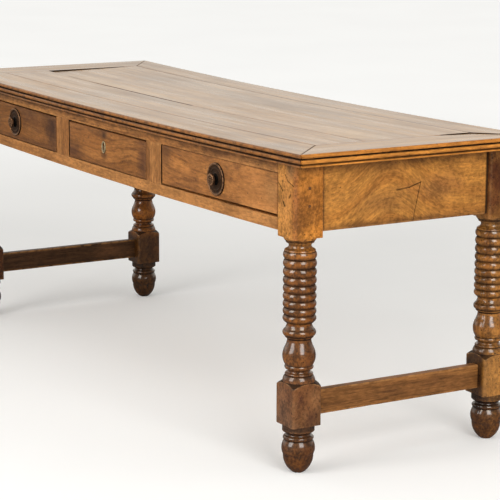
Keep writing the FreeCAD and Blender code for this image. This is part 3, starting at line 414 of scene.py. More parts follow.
def grainColour(bench, where, finish):
    pale, mid, dark = (tone(item, finish.get("shade", 1.0)) for item in finish["tones"])
    return bench.place(grainGroup, {
        "Vector": where, "Pale": pale, "Mid": mid, "Dark": dark, "Figure": finish["figure"],
        "Streak": finish["streak"], "Fibre": finish["fibre"],
    })


woodSurface = {
    "grainRelief": 0.5, "lineRelief": 2.0, "relief": 0.0008, "dullFrom": (0.5, 0.95), "dullRough": 0.6,
    "grimeRough": 0.3, "polishRun": (2.2, 26, 26), "polish": (1.0, 5.0, 0.6), "glossFrom": (0.3, 0.7),
    "coatFrom": (0.25, 0.75), "thinCoat": 0.6, "dullCoat": 0.9,
}
metalSurface = {
    "bloom": (90.0, 5.0, 0.6), "bloomFrom": (0.35, 0.65), "rub": (220.0, 3.0, 0.5), "rubFrom": (0.25, 0.6),
    "pits": (600.0, 2.0, 0.5), "relief": 0.0004, "glossFrom": (0.3, 0.7), "grimeRough": 0.5,
    "grimeMetal": 0.1,
}


def woodMaterial(name, finish, along, lines=(), spots=(), rims=(), edges=None, lower=(), arch=None,
                 flat=False):
    # lines: start, end, width, share, waver. spots: centre, half sizes, share, tint. rims: box, share, tint.
    # lower: from and to which height a tint sets in.
    s = woodSurface
    material, bench = newMaterial(name)
    where = bench.put("ShaderNodeTexCoord", out="Object")
    x, y, z = bench.parts(where)
    drawn = where
    if arch:  # the grain rises over a point along Y
        away = (y - arch["at"]) / arch["width"]
        bell = (away * away * -1.0).exponent()
        drawn = bench.join(x, y, z - bell * arch["rise"])
    turned = bench.stretch(drawn, (1, 1, 1), grainTurn[along])
    grain = grainColour(bench, turned, finish)
    colour = grain["Color"]
    grime = bench.attribute("grime")
    specks, mottle = finish["specks"], finish["mottle"]
    if edges:  # the moulding has its own rougher tone
        moulded = bench.attribute("moulded")
        colour = bench.blend(moulded, colour, grainColour(bench, turned, edges)["Color"])
        specks = moulded * edges["moreSpecks"] + specks
        mottle = moulded * edges["moreMottle"] + mottle
    if "flatMottle" in finish:
        mottle = bench.fade(bench.attribute("round"), 0.0, 1.0, finish["flatMottle"], mottle)
    for start, end, tint in lower:
        colour = bench.blend(bench.fade(z, start, end), colour, tone(tint), "MULTIPLY")
    for centre, size, share, tint in spots:
        mask = bench.place(spotGroup, {"Vector": where, "Centre": centre, "Size": size})["Mask"]
        colour = bench.blend(mask * share, colour, tone(tint))
    for box, share, tint in rims:
        mask = bench.place(rimGroup, dict(box, Vector=where))["Mask"]
        colour = bench.blend(mask * share, colour, tone(tint))
    dark = tone(finish["grimeColour"])
    # the grime mask darkens hollows and undersides: dirt and painted shade
    aged = bench.place(ageGroup, {
        "Color": colour, "Vector": where, "Along": bench.stretch(turned, (finish["run"], 1, 1)),
        "Grime": grime, "Wear": bench.attribute("wear"), "Stain": finish["stain"], "Specks": specks,
        "Mottle": mottle, "Stain Colour": tone(finish["stainColour"]),
        "Wear Colour": tone(finish["wearColour"]), "Grime Colour": dark,
    })
    colour = aged["Color"]
    relief = grain["Height"] * s["grainRelief"] + aged["Height"]
    dulled = bench.fade(grime, *s["dullFrom"])
    level = bench.stretch(where, (1, 1, 0)) if flat else where
    for start, end, width, share, waver in lines:
        mask = bench.place(lineGroup, {
            "Vector": level, "Start": start, "End": end, "Width": width, "Waver": waver,
        })["Mask"]
        colour = bench.blend(mask * share, colour, dark)
        relief = relief - mask * s["lineRelief"]
        dulled = dulled.most(mask * share)
    polish = bench.cloud(bench.stretch(turned, s["polishRun"]), *s["polish"])
    gloss = (bench.fade(polish, *s["glossFrom"], *finish["gloss"]) + grime * s["grimeRough"]).clamped()
    bump = bench.put("ShaderNodeBump", {
        "Height": relief, "Strength": finish["bump"], "Distance": s["relief"],
    })
    values = {
        "Base Color": colour, "Roughness": (gloss + dulled * s["dullRough"]).clamped(), "Normal": bump,
        "Specular IOR Level": finish["specular"],
    }
    if finish["coat"]:
        coat = bench.fade(polish, *s["coatFrom"], finish["coat"], s["thinCoat"] * finish["coat"])
        if "blockCoat" in finish:  # the turner's polish ends below the upper block
            coat = coat * bench.fade(z, *finish["blockFrom"], 1.0, finish["blockCoat"])
        kept = 1.0 - dulled * s["dullCoat"]
        if edges:
            kept = kept * bench.fade(moulded, 0.0, 1.0, 1.0, edges["polish"])
        values["Coat Weight"] = kept * coat
        values.update({"Coat Roughness": finish["coatRough"], "Coat IOR": finish["coatIor"]})
    bench.close("ShaderNodeOutputMaterial", bench.put("ShaderNodeBsdfPrincipled", values))
    return material


def metalMaterial(name, finish):
    s = metalSurface
    material, bench = newMaterial(name)
    dull, plain, bright, dirtAndShade = (tone(item) for item in finish["tones"])
    where = bench.put("ShaderNodeTexCoord", out="Object")
    grime = bench.attribute("grime")
    bloom = bench.cloud(where, *s["bloom"])
    colour = bench.blend(bench.fade(bloom, *s["bloomFrom"]), dull, plain)
    rubbed = bench.attribute("wear") * bench.fade(bench.cloud(where, *s["rub"]), *s["rubFrom"])
    colour = bench.blend(grime, bench.blend(rubbed, colour, bright), dirtAndShade)
    pits = bench.cloud(where, *s["pits"]) + bloom
    bump = bench.put("ShaderNodeBump", {
        "Height": pits, "Strength": finish["bump"], "Distance": s["relief"],
    })
    shader = bench.put("ShaderNodeBsdfPrincipled", {
        "Base Color": colour, "Specular IOR Level": finish["specular"],
        "Roughness": (
            bench.fade(bloom, *s["glossFrom"], *finish["gloss"]) + grime * s["grimeRough"]
        ).clamped(),
        "Metallic": bench.fade(grime, 0.0, 1.0, finish["metal"], s["grimeMetal"]),
        "Normal": bump,
    })
    bench.close("ShaderNodeOutputMaterial", shader)
    return material


print("shared effects and finishes ready")

# Mesh helpers

weldReach = 1e-6


def smoothMesh(mesh, angle=30.0):
    shape = bmesh.new()
    shape.from_mesh(mesh)
    bmesh.ops.remove_doubles(shape, verts=shape.verts, dist=weldReach)
    bmesh.ops.recalc_face_normals(shape, faces=shape.faces)
    shape.to_mesh(mesh)
    shape.free()
    mesh.shade_smooth()
    mesh.set_sharp_from_angle(angle=math.radians(angle))
    return mesh


def setMask(mesh, label, values):
    mesh.attributes.new(label, "FLOAT", "POINT").data.foreach_set("value", values)


def loftMesh(name, rings, masks, looped=False, angle=30.0):
    # A skin over rings of points, capped at both ends or looped. masks holds one list of values per ring.
    count, last = len(rings[0]), len(rings) - 1
    faces = [] if looped else [tuple(reversed(range(count))), tuple(range(last * count, (last + 1) * count))]
    for i in range(last + looped):
        low, high = i * count, (i + 1) % len(rings) * count
        for j in range(count):
            k = (j + 1) % count
            faces.append((low + j, low + k, high + k, high + j))
    mesh = bpy.data.meshes.new(name)
    mesh.from_pydata([point for ring in rings for point in ring], [], faces)
    for label, rows in masks.items():
        setMask(mesh, label, [value for row in rows for value in row])
    return smoothMesh(mesh, angle)


def carry(name, mesh):
    carrier = bpy.data.objects.new(name, mesh)
    scene.collection.objects.link(carrier)
    return carrier


def plainMesh(name, carrier, *helpers):  # the mesh as its modifiers leave it, without its carrier
    graph = bpy.context.evaluated_depsgraph_get()
    mesh = bpy.data.meshes.new_from_object(
        carrier.evaluated_get(graph), preserve_all_data_layers=True, depsgraph=graph,
    )
    carrier.modifiers.clear()
    for item in (carrier, *helpers):
        source = item.data
        bpy.data.objects.remove(item)
        bpy.data.meshes.remove(source)
    mesh.name = name
    return smoothMesh(mesh)


def grow(name, seedMesh, tree, values):  # runs a geometry tree on a mesh
    carrier = carry(name, seedMesh)
    modifier = carrier.modifiers.new("grow", "NODES")
    modifier.node_group = tree
    known = {item.name: item.identifier for item in tree.interface.items_tree if item.in_out == "INPUT"}
    for label, value in values.items():
        modifier[known[label]] = value
    return plainMesh(name, carrier)


def cutBox(mesh, low, high):  # takes a box out of a mesh
    shape = bmesh.new()
    size = Matrix.Diagonal((*(high - low), 1.0))
    bmesh.ops.create_cube(shape, size=1.0, matrix=Matrix.Translation((low + high) / 2) @ size)
    boxMesh = bpy.data.meshes.new("cut_box")
    shape.to_mesh(boxMesh)
    shape.free()
    carrier, cutter = carry("carrier", mesh), carry("cutter", boxMesh)
    modifier = carrier.modifiers.new("cut", "BOOLEAN")
    modifier.operation, modifier.solver, modifier.object = "DIFFERENCE", "EXACT", cutter
    return plainMesh(mesh.name, carrier, cutter)


def addPiece(name, mesh, body, material, slot, *nodes):
    piece = carry(name, mesh)
    mesh.materials.clear()
    mesh.materials.append(material)
    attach(piece, body)
    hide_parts(*nodes)
    return piece


# Top: four mitred borders with a reeded edge, and two long boards

topShape = {
    "thick": 0.031, "upperReed": 0.0094, "middleReed": 0.0090, "groove": 0.0040, "grooveDepth": 0.0060,
    "bulge": 0.0026, "edgeRound": 0.0045, "facets": 10, "arris": 0.0007, "cornerRound": 0.0045,
    "innerFlat": 0.006, "outerFlat": 0.012, "station": 0.005, "crestWear": 0.55, "mouldedFrom": 0.001,
    "dent": 0.0016, "dentScale": (26, 160), "dentFrom": 0.42, "dentGain": 4, "waver": 0.0004,
    "waverScale": (4, 60), "seed": 3.0, "seamGap": 0.00015, "boardRound": 0.0006, "boardChip": 0.0008,
    "even": 3, "patchDepth": 0.5,
}
# darkening for each part of the section: dirt in the seams and along the arris, dirt and painted shade in
# the grooves, on the reeds' flanks and underneath
topDirtAndShade = {"reed": 0.4, "arris": 0.5, "seam": 0.3, "upperGroove": 1.0, "lowerGroove": 0.85, "under": 0.3}
topWear = {"cornerDrop": 0.0022, "cornerFrom": (0.10, 0.22), "boardDrop": 0.0036, "boardReach": 0.45}
jointMarks = [  # from x, y to x, y, with width, share and waver
    ((-0.75, boardJointY), (0.04, boardJointY), 0.0046, 0.9, 0.001),
    ((0.03, boardJointY), (0.88, boardJointY), 0.0022, 0.35, 0.0),
    ((-endJointX, frontJointY), (endJointX, frontJointY), 0.0016, 0.1, 0.0),
    ((0.35, frontJointY), (endJointX, frontJointY), 0.0018, 0.3, 0.0),
    ((-endJointX, backJointY), (endJointX, backJointY), 0.0018, 0.14, 0.0),
    ((endJointX, frontJointY), (endJointX, backJointY), 0.0018, 0.15, 0.0),
    ((endJointX, 0.15), (endJointX, backJointY), 0.005, 1.0, 0.0),
    ((endJointX, backJointY), (1.01, 0.327), 0.005, 0.95, 0.0),
    ((endJointX, frontJointY), (1.013, -0.328), 0.003, 0.8, 0.0),
    ((-endJointX, -0.07), (-endJointX, 0.19), 0.006, 1.0, 0.0),
    ((-endJointX, backJointY), (-1.02, 0.334), 0.003, 0.6, 0.0),
    ((-endJointX, frontJointY), (-1.02, -0.334), 0.003, 0.6, 0.0),
]
topPatchesAndSheen = [  # x, y, half length, half width, share and tint
    (-0.57, 0.15, 0.26, 0.10, 0.55, (112, 76, 42)), (0.15, 0.14, 0.32, 0.08, 0.55, (112, 76, 42)),
    (-0.17, -0.10, 0.16, 0.035, 0.55, (112, 76, 42)), (0.86, -0.29, 0.09, 0.045, 0.6, (104, 68, 36)),
    # painted sheen: this pale band behind the board joint and the next pale patch stand in for reflections
    # on the top
    (-0.50, boardJointY + 0.03, 0.40, 0.025, 0.4, (214, 172, 118)),
    (0.76, -0.02, 0.16, 0.06, 0.35, (212, 170, 116)),
]
jointLines = [((*start, 0.0), (*end, 0.0), *rest) for start, end, *rest in jointMarks]
topSpotsAndSheen = [((x, y, topHeight), (a, b, topShape["patchDepth"]), *rest) for x, y, a, b, *rest in topPatchesAndSheen]
topWood = {
    run: woodMaterial(
        "walnut_top_" + run, topFinish, axis, jointLines, topSpotsAndSheen, edges=edgeFinish[run], flat=True,
    )
    for run, axis in (("long", "x"), ("end", "y"))
}
frontWidth, backWidth = frontJointY - frontEdgeY, backEdgeY - backJointY
endWidth = halfLength - endJointX
underside = topHeight - topShape["thick"]


def ripple(scale, along, across, seed):
    return noise.noise(Vector((along * scale[0], across * scale[1], seed)))


def beyond(value, start, gain):  # how far a ripple rises over a start, up to 1
    return min(max(0.0, value - start) * gain, 1)


def reed(insetStart, insetEnd, dropStart, dropEnd):
    middle, half = (dropStart + dropEnd) / 2, (dropEnd - dropStart) / 2
    points = []
    for i in range(topShape["facets"] + 1):
        angle = math.pi * i / topShape["facets"]
        crest = math.sin(angle)
        inset = (insetStart if 2 * i < topShape["facets"] else insetEnd) * (1 - crest)
        points.append((inset, middle - half * math.cos(angle), topDirtAndShade["reed"] * (1 - crest), crest))
    return points


def borderSection(width):
    # Ring of (inset, drop, dirt and painted shade, crest) round a border, from its inner arris over the
    # moulding and back.
    s, grime = topShape, topDirtAndShade
    middleStart = s["upperReed"] + s["groove"]
    middleEnd = middleStart + s["middleReed"]
    lipStart = middleEnd + s["groove"]
    ring = [(width, s["arris"], grime["arris"], 0), (width - s["arris"], 0, grime["seam"], 0)]
    ring += [(inset, 0, 0, 0) for inset in (width - s["innerFlat"], width / 2, s["outerFlat"])]
    upper = reed(s["edgeRound"], s["bulge"], 0, s["upperReed"])
    ring += [(inset, drop, 0.0 if i < s["facets"] / 2 else dirtAndShade, crest)
             for i, (inset, drop, dirtAndShade, crest) in enumerate(upper)]
    ring += [(s["grooveDepth"], drop, grime["upperGroove"], 0) for drop in (s["upperReed"], middleStart)]
    ring += reed(s["bulge"], s["bulge"], middleStart, middleEnd)
    ring += [(s["grooveDepth"], drop, grime["lowerGroove"], 0) for drop in (middleEnd, lipStart)]
    ring += reed(s["bulge"], s["bulge"], lipStart, s["thick"])
    return ring + [(inset, s["thick"], grime["under"], 0) for inset in (width / 2, width)]


def borderPoint(side, inset, drop, along):
    if side in ("front", "back"):
        x, y = along - halfLength, frontEdgeY + inset if side == "front" else backEdgeY - inset
    else:
        x, y = halfLength - inset if side == "right" else inset - halfLength, frontEdgeY + along
    z = settled(x, topHeight - drop)
    if side == "right" and drop < 2 * topShape["arris"]:  # its back corner has dropped, so the joint is open
        z -= topWear["cornerDrop"] * smooth(y, *topWear["cornerFrom"]) * inset / endWidth
    return Vector((x, y, z))


def borderMesh(name, side, length, width, startCut, endCut):
    # Sweeps the section along a border. The cuts are how far each mitre runs in over the width.
    s = topShape
    corner = s["cornerRound"]
    section = borderSection(width)
    count = int(length / s["station"])
    rings = []
    for i in range(count + 1):
        eased = 0.5 - 0.5 * math.cos(math.pi * i / count)  # closer at the ends
        share = (eased + s["even"] * i / count) / (s["even"] + 1)
        along = share * length
        ring = []
        for inset, drop, _, crest in section:
            if crest or inset <= s["grooveDepth"]:
                dent = ripple(s["dentScale"], along, drop, s["seed"] + width)
                wave = 0.5 + 0.5 * ripple(s["waverScale"], along, drop, s["seed"])
                inset += crest * (beyond(dent, s["dentFrom"], s["dentGain"]) * s["dent"] + wave * s["waver"])
                ahead = min(along, length - along)
                if ahead < corner:
                    inset += corner - math.sqrt(corner ** 2 - (corner - ahead) ** 2)
            low, high = startCut * inset / width, length - endCut * inset / width
            ring.append(borderPoint(side, inset, drop, low + share * (high - low)))
        rings.append(ring)
    masks = {
        "grime": [dirtAndShade for _, _, dirtAndShade, _ in section],
        "wear": [s["crestWear"] * crest for _, _, _, crest in section],
        "moulded": [1.0 if dirtAndShade or crest or drop > s["mouldedFrom"] else 0.0
                    for _, drop, dirtAndShade, crest in section],
    }
    return loftMesh(name, rings, {label: [row] * len(rings) for label, row in masks.items()})


tableLength, tableDepth = 2 * halfLength, backEdgeY - frontEdgeY
borders = {
    "front": ("long", tableLength, frontWidth, endWidth, endWidth),
    "back": ("long", tableLength, backWidth, endWidth, endWidth),
    "right": ("end", tableDepth, endWidth, frontWidth, backWidth),
    "left": ("end", tableDepth, endWidth, frontWidth, backWidth),
}
for side, (run, *sizes) in borders.items():
    mesh = borderMesh("reeded_border_" + side, side, *sizes)
    addPiece("reeded_border_" + side, mesh, "table", topWood[run], "walnut_top", "top_border_" + side)

boardShape = {
    "band": 0.006, "bandShare": 0.3, "roundShare": 0.8, "turns": 3, "station": 0.02, "stations": 6,
    "chip": 0.0015, "chipScale": (42, 3.1), "chipFrom": 0.4, "chipGain": 3, "chipSeed": 5, "rub": 0.5,
    "rubScale": (9, 7.3), "wear": 0.45,
}


def boardMesh(name, along, low, high, edgeRound, seed, bend=True, chip=boardShape["chip"], twist=None):
    # A board with softened, unevenly rubbed long edges. along is the axis of its length.
    # twist is how far the upper front arris drops at the start, and over which length.
    s = boardShape
    across = 1 if along == 0 else 0
    length = high[along] - low[along]
    count = max(s["stations"], int(length / s["station"]))
    band = min(s["band"], s["bandShare"] * min(high[across] - low[across], high[2] - low[2]))
    rings, wear = [], []
    for i in range(count + 1):
        distance = low[along] + length * i / count
        ring, rubbed = [], []
        for corner in range(4):
            signA = 1 if corner in (0, 3) else -1
            signZ = 1 if corner in (0, 1) else -1
            rubbing = 1 + s["rub"] * ripple(s["rubScale"], distance, corner, seed)
            pit = ripple(s["chipScale"], distance, corner, seed + s["chipSeed"])
            chipped = chip * beyond(pit, s["chipFrom"], s["chipGain"])
            radius = min(edgeRound * rubbing + chipped, band * s["roundShare"])
            cornerA = (high if signA > 0 else low)[across]
            cornerZ = (high if signZ > 0 else low)[2]
            points = [(cornerA, cornerZ - signZ * band, 0.0)]
            for step in range(s["turns"] + 1):
                angle = 0.5 * math.pi * step / s["turns"]
                points.append((cornerA - signA * radius * (1 - math.cos(angle)),
                               cornerZ - signZ * radius * (1 - math.sin(angle)), s["wear"]))
            points.append((cornerA - signA * band, cornerZ, 0.0))
            if signA * signZ < 0:
                points.reverse()
            for a, z, mask in points:
                spot = Vector((0, 0, 0))
                spot[along], spot[across] = distance, a
                spot.z = settled(spot.x, z) if bend else z
                if twist and corner == 1:
                    spot.z -= twist[0] * smooth(distance, low[along] + twist[1], low[along])
                ring.append(spot)
                rubbed.append(mask)
        rings.append(ring)
        wear.append(rubbed)
    return loftMesh(name, rings, {"wear": wear})


gap = topShape["seamGap"]
boards = {"front": (frontJointY, boardJointY, None),
          "back": (boardJointY, backJointY, (topWear["boardDrop"], topWear["boardReach"]))}
for seed, (side, (y0, y1, twist)) in enumerate(boards.items()):
    low, high = (gap - endJointX, y0 + gap, underside), (endJointX - gap, y1 - gap, topHeight)
    mesh = boardMesh("long_board_" + side, 0, low, high, topShape["boardRound"], seed * 11.0,
                     chip=topShape["boardChip"], twist=twist)
    addPiece("long_board_" + side, mesh, "table", topWood["long"], "walnut_top", "top_board_" + side)
print("top: 4 reeded borders, 2 boards")

# Frame: rails, dividers, aprons, stretchers

frameShape = {"railRound": 0.0012, "apronRound": 0.0018, "stretcherRound": 0.0026, "stretcherChip": 0.0025,
              "dividerRound": 0.0003}
# painted shade: a near-black band on each divider's side, in the slit beside the drawer front
dividerSlitShade = {"depth": 0.012, "size": (0.0022, 0.05, 0.4), "tint": (18, 10, 5)}
boltSlot = {"throw": 0.008, "room": 0.0006, "over": 0.0012}


def levels(node):  # lower and upper edge of a long member, as they were before it sagged
    low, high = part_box(node)
    return unsettled(0, low.z), unsettled(legInX, high.z)


def addBoard(name, node, material, along, low, high, edgeRound, seed, cut=None, **more):
    mesh = boardMesh(name, along, low, high, edgeRound, seed, **more)
    if cut:
        mesh = cutBox(mesh, *cut)
    addPiece(name, mesh, "table", material, "walnut_frame", node)


lowRail, highRail = levels("front_rail_lower"), levels("front_rail_upper")
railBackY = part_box("front_rail_lower")[1].y
railSpots = [
    ((0.61, frontFaceY, 0.737), (0.07, 0.05, 0.022), 0.7, (74, 46, 30)),
    ((-0.80, frontFaceY, 0.738), (0.25, 0.05, 0.02), 0.6, (96, 66, 44)),
    # painted shadow of the top's overhang, along the upper rail
    ((0.0, frontFaceY, 0.752), (2.0, 0.05, 0.026), 0.85, (58, 36, 22)),
    ((0.3, frontFaceY, lowRail[0]), (1.4, 0.05, 0.04), 0.5, (192, 133, 74)),
]
slitShade = []
for side in ("left", "right"):
    low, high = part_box("divider_" + side)
    middle = (high.x, frontFaceY + dividerSlitShade["depth"], (low.z + high.z) / 2)
    slitShade.append((middle, dividerSlitShade["size"], 1.0, dividerSlitShade["tint"]))
railWood = woodMaterial("walnut_rail", frameFinish, "x", spots=railSpots)
dividerWood = woodMaterial("walnut_divider", frameFinish, "z", spots=slitShade)

boltLow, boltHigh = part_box("lock_bolt")
room = Vector((boltSlot["room"],) * 3)
boltHole = (boltLow - room, boltHigh + room + Vector((0, 0, boltSlot["throw"] + boltSlot["over"])))
for name, (z0, z1), seed, cut in (("lower", lowRail, 21.0, None), ("upper", highRail, 23.0, boltHole)):
    low, high = (-legInX, frontFaceY, z0), (legInX, railBackY, z1)
    addBoard("front_rail_worn_" + name, "front_rail_" + name, railWood, 0, low, high,
             frameShape["railRound"], seed, cut)
for side in ("left", "right"):
    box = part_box("divider_" + side)
    low, high = (box[0].x, frontFaceY, lowRail[1]), (box[1].x, railBackY, highRail[0])
    addBoard("divider_worn_" + side, "divider_" + side, dividerWood, 0, low, high,
             frameShape["dividerRound"], 29.0, chip=0.0)

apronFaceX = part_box("end_apron_right")[1].x
apronSeam = legInY - 0.0015  # where it meets a leg's block
apronMarks = {
    "spotDepth": 0.1, "arch": {"at": -0.05, "width": 0.10, "rise": 0.085},
    "lines": [  # from y, z to y, z, with width, share and waver
        ((-0.030, 0.666), (0.006, 0.670), 0.0024, 0.7, 0.004),
        ((0.006, 0.670), (0.040, 0.680), 0.0024, 0.8, 0.002),
        ((0.040, 0.681), (0.028, 0.632), 0.0018, 0.75, 0.003),
        ((0.028, 0.632), (0.019, 0.588), 0.0016, 0.65, 0.004),
        ((-apronSeam, 0.58), (-apronSeam, 0.75), 0.004, 0.95, 0.0),
        ((apronSeam, 0.58), (apronSeam, 0.75), 0.007, 0.95, 0.0),
    ],
    "spots": [  # y, z, half sizes, share and tint
        ((-0.07, 0.640), (0.10, 0.035), 0.55, (116, 78, 42)),
        ((0.10, 0.665), (0.09, 0.035), 0.5, (126, 80, 48)),
        # painted shadow of the top's overhang along the apron's top; the second band darkens its lower edge
        ((0.0, 0.748), (0.50, 0.028), 0.85, (84, 52, 26)), ((0.0, 0.587), (0.40, 0.014), 0.85, (80, 48, 24)),
        # painted shade down the apron's edge beside the front leg
        ((-0.240, 0.66), (0.008, 0.12), 0.7, (70, 42, 22)),
    ],
}
apronLines = [((apronFaceX, *start), (apronFaceX, *end), *rest) for start, end, *rest in apronMarks["lines"]]
apronDepth = apronMarks["spotDepth"]
apronSpots = [((apronFaceX, *at), (apronDepth, *size), *rest) for at, size, *rest in apronMarks["spots"]]
apronWood = {
    "right": woodMaterial(
        "walnut_apron_right", apronFinish, "y", apronLines, apronSpots, arch=apronMarks["arch"],
    ),
    "left": woodMaterial("walnut_apron_left", apronFinish, "y"),
}
for side in ("left", "right"):
    stretcherWood = woodMaterial("walnut_stretcher_" + side, stretcherTonesAndShade[side], "y")
    for node, name, material, edgeRound, seed, chip in (
        ("end_apron_", "end_apron_worn_", apronWood[side], frameShape["apronRound"], 31.0,
         boardShape["chip"]),
        ("stretcher_", "stretcher_worn_", stretcherWood, frameShape["stretcherRound"], 37.0,
         frameShape["stretcherChip"]),
    ):
        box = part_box(node + side)
        low, high = (box[0].x, -legInY, box[0].z), (box[1].x, legInY, box[1].z)
        addBoard(name + side, node + side, material, 1, low, high, edgeRound, seed + low[0], bend=False,
                 chip=chip)
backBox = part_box("back_apron")
backLevels = levels("back_apron")
low, high = (-legInX, backBox[0].y, backLevels[0]), (legInX, backBox[1].y, backLevels[1])
addBoard("back_apron_worn", "back_apron", railWood, 0, low, high, frameShape["apronRound"], 41.0)
print("frame: rails, dividers, aprons, stretchers")

# Turned legs, knobs and plates share one geometry tree

turningWear = {"nickScale": 55.0, "nickFrom": (0.56, 0.72), "arris": (0.0026, 0.0008), "arrisOver": 0.0006,
               "arrisWear": 0.9, "cornerWear": 0.12}


def finishTree(bench, geometry, given, result):
    real = bench.put("GeometryNodeRealizeInstances", {"Geometry": geometry})
    last = bench.put("GeometryNodeSetMaterial", {"Geometry": real, "Material": given["Finish"]})
    bench.plug(last, result["Geometry"])
    return bench.tree


def makeTurningTree():
    bench, given, result = newTree(
        "turning", "GeometryNodeTree",
        {"Geometry": ["Geometry"], "Int": ["Steps Round"],
         "Float": ["Half Square", "Corner Radius", "Chip Depth", "Seed"], "Material": ["Finish"]},
        {"Geometry": ["Geometry"]},
    )
    half, cornerRadius = given["Half Square"], given["Corner Radius"]
    columns = given["Steps Round"] + 1.0
    sizes = bench.put("GeometryNodeAttributeDomainSize", {0: given["Geometry"]}, component="MESH")
    rows = sizes.also("Point Count")
    grid = bench.put("GeometryNodeMeshGrid", {"Vertices X": rows, "Vertices Y": columns})
    index = bench.put("GeometryNodeInputIndex")
    row = ((index + 0.5) / columns).whole()
    column = index - row * columns

    def sample(kind, value):
        values = {"Geometry": given["Geometry"], "Index": row, "Value": value}
        return bench.put("GeometryNodeSampleIndex", values, data_type=kind, clamp=True)

    def sampleMask(label):
        named = bench.put("GeometryNodeInputNamedAttribute", {"Name": label}, data_type="FLOAT")
        return sample("FLOAT", named)

    reach, _, height = bench.parts(sample("FLOAT_VECTOR", bench.put("GeometryNodeInputPosition")))
    turn = column / given["Steps Round"] * (2 * math.pi)
    cosine, sine = turn.cosine(), turn.sine()
    a, b = abs(cosine), abs(sine)
    # Distance to a square with round corners: its flat, or the circle in its corner
    flat = half / a.most(b)
    inner = half - cornerRadius
    lean = inner * (a + b)
    rest = inner * inner * 2.0 - cornerRadius * cornerRadius
    bend = lean + (lean * lean - rest).most(0.0).root()
    inCorner = flat * a.least(b) > inner
    edge = bench.choose(inCorner, flat, bend)
    onSquare = reach > edge
    radius = reach.least(edge)
    skin = bench.join(cosine * radius, sine * radius, height + given["Seed"])
    nick = bench.fade(bench.cloud(skin, turningWear["nickScale"], 2.0), *turningWear["nickFrom"])
    worn = (radius - nick * given["Chip Depth"]).most(0.0)
    moved = bench.put("GeometryNodeSetPosition", {
        "Geometry": grid, "Position": bench.join(cosine * worn, sine * worn, height),
    })
    cutAcross = reach > half + turningWear["arrisOver"]
    arris = bench.fade(abs(reach - edge), *turningWear["arris"]) * cutAcross * turningWear["arrisWear"]
    rubs = (onSquare * inCorner * turningWear["cornerWear"]).most(arris).most(sampleMask("wear"))
    turned = 1.0 - onSquare
    for label, value in (("grime", sampleMask("grime") * turned), ("wear", rubs), ("round", turned)):
        values = {"Geometry": moved, "Name": label, "Value": value}
        moved = bench.put("GeometryNodeStoreNamedAttribute", values, data_type="FLOAT")
    joined = bench.put("GeometryNodeMergeByDistance", {"Geometry": moved, "Distance": weldReach})
    return finishTree(bench, joined, given, result)


turningTree = makeTurningTree()


def arcThrough(start, middle, end, steps):
    # Points after start, up to end, on the circle through three points.
    (ax, ay), (bx, by), (cx, cy) = start, middle, end
    double = 2 * (ax * (by - cy) + bx * (cy - ay) + cx * (ay - by))
    a2, b2, c2 = ax * ax + ay * ay, bx * bx + by * by, cx * cx + cy * cy
    ux = (a2 * (by - cy) + b2 * (cy - ay) + c2 * (ay - by)) / double
    uy = (a2 * (cx - bx) + b2 * (ax - cx) + c2 * (bx - ax)) / double
    radius = math.hypot(ax - ux, ay - uy)
    first = math.atan2(ay - uy, ax - ux)
    sweep = (math.atan2(cy - uy, cx - ux) - first) % (2 * math.pi)
    through = (math.atan2(by - uy, bx - ux) - first) % (2 * math.pi)
    if through > sweep:
        sweep -= 2 * math.pi
    angles = [first + sweep * (i + 1) / steps for i in range(steps)]
    return [(ux + radius * math.cos(angle), uy + radius * math.sin(angle)) for angle in angles]


def lineTo(start, end, step=0.004):
    count = max(1, int(math.dist(start, end) / step))
    return [tuple(s + (e - s) * (i + 1) / count for s, e in zip(start, end)) for i in range(count)]


def traced(points, steps, arcSteps=9):
    # Carries an outline on by straight steps (radius, height) and arcs ((radius, height), (radius, height)).
    points = list(points)
    for step in steps:
        if isinstance(step[0], tuple):
            points += arcThrough(points[-1], *step, arcSteps)
        else:
            points += lineTo(points[-1], step)
    return points


def outlineMesh(points, dirtAndShade, wear):
    mesh = bpy.data.meshes.new("outline")
    mesh.from_pydata([(radius, 0, height) for radius, height in points], [], [])
    setMask(mesh, "grime", dirtAndShade)
    setMask(mesh, "wear", wear)
    return mesh


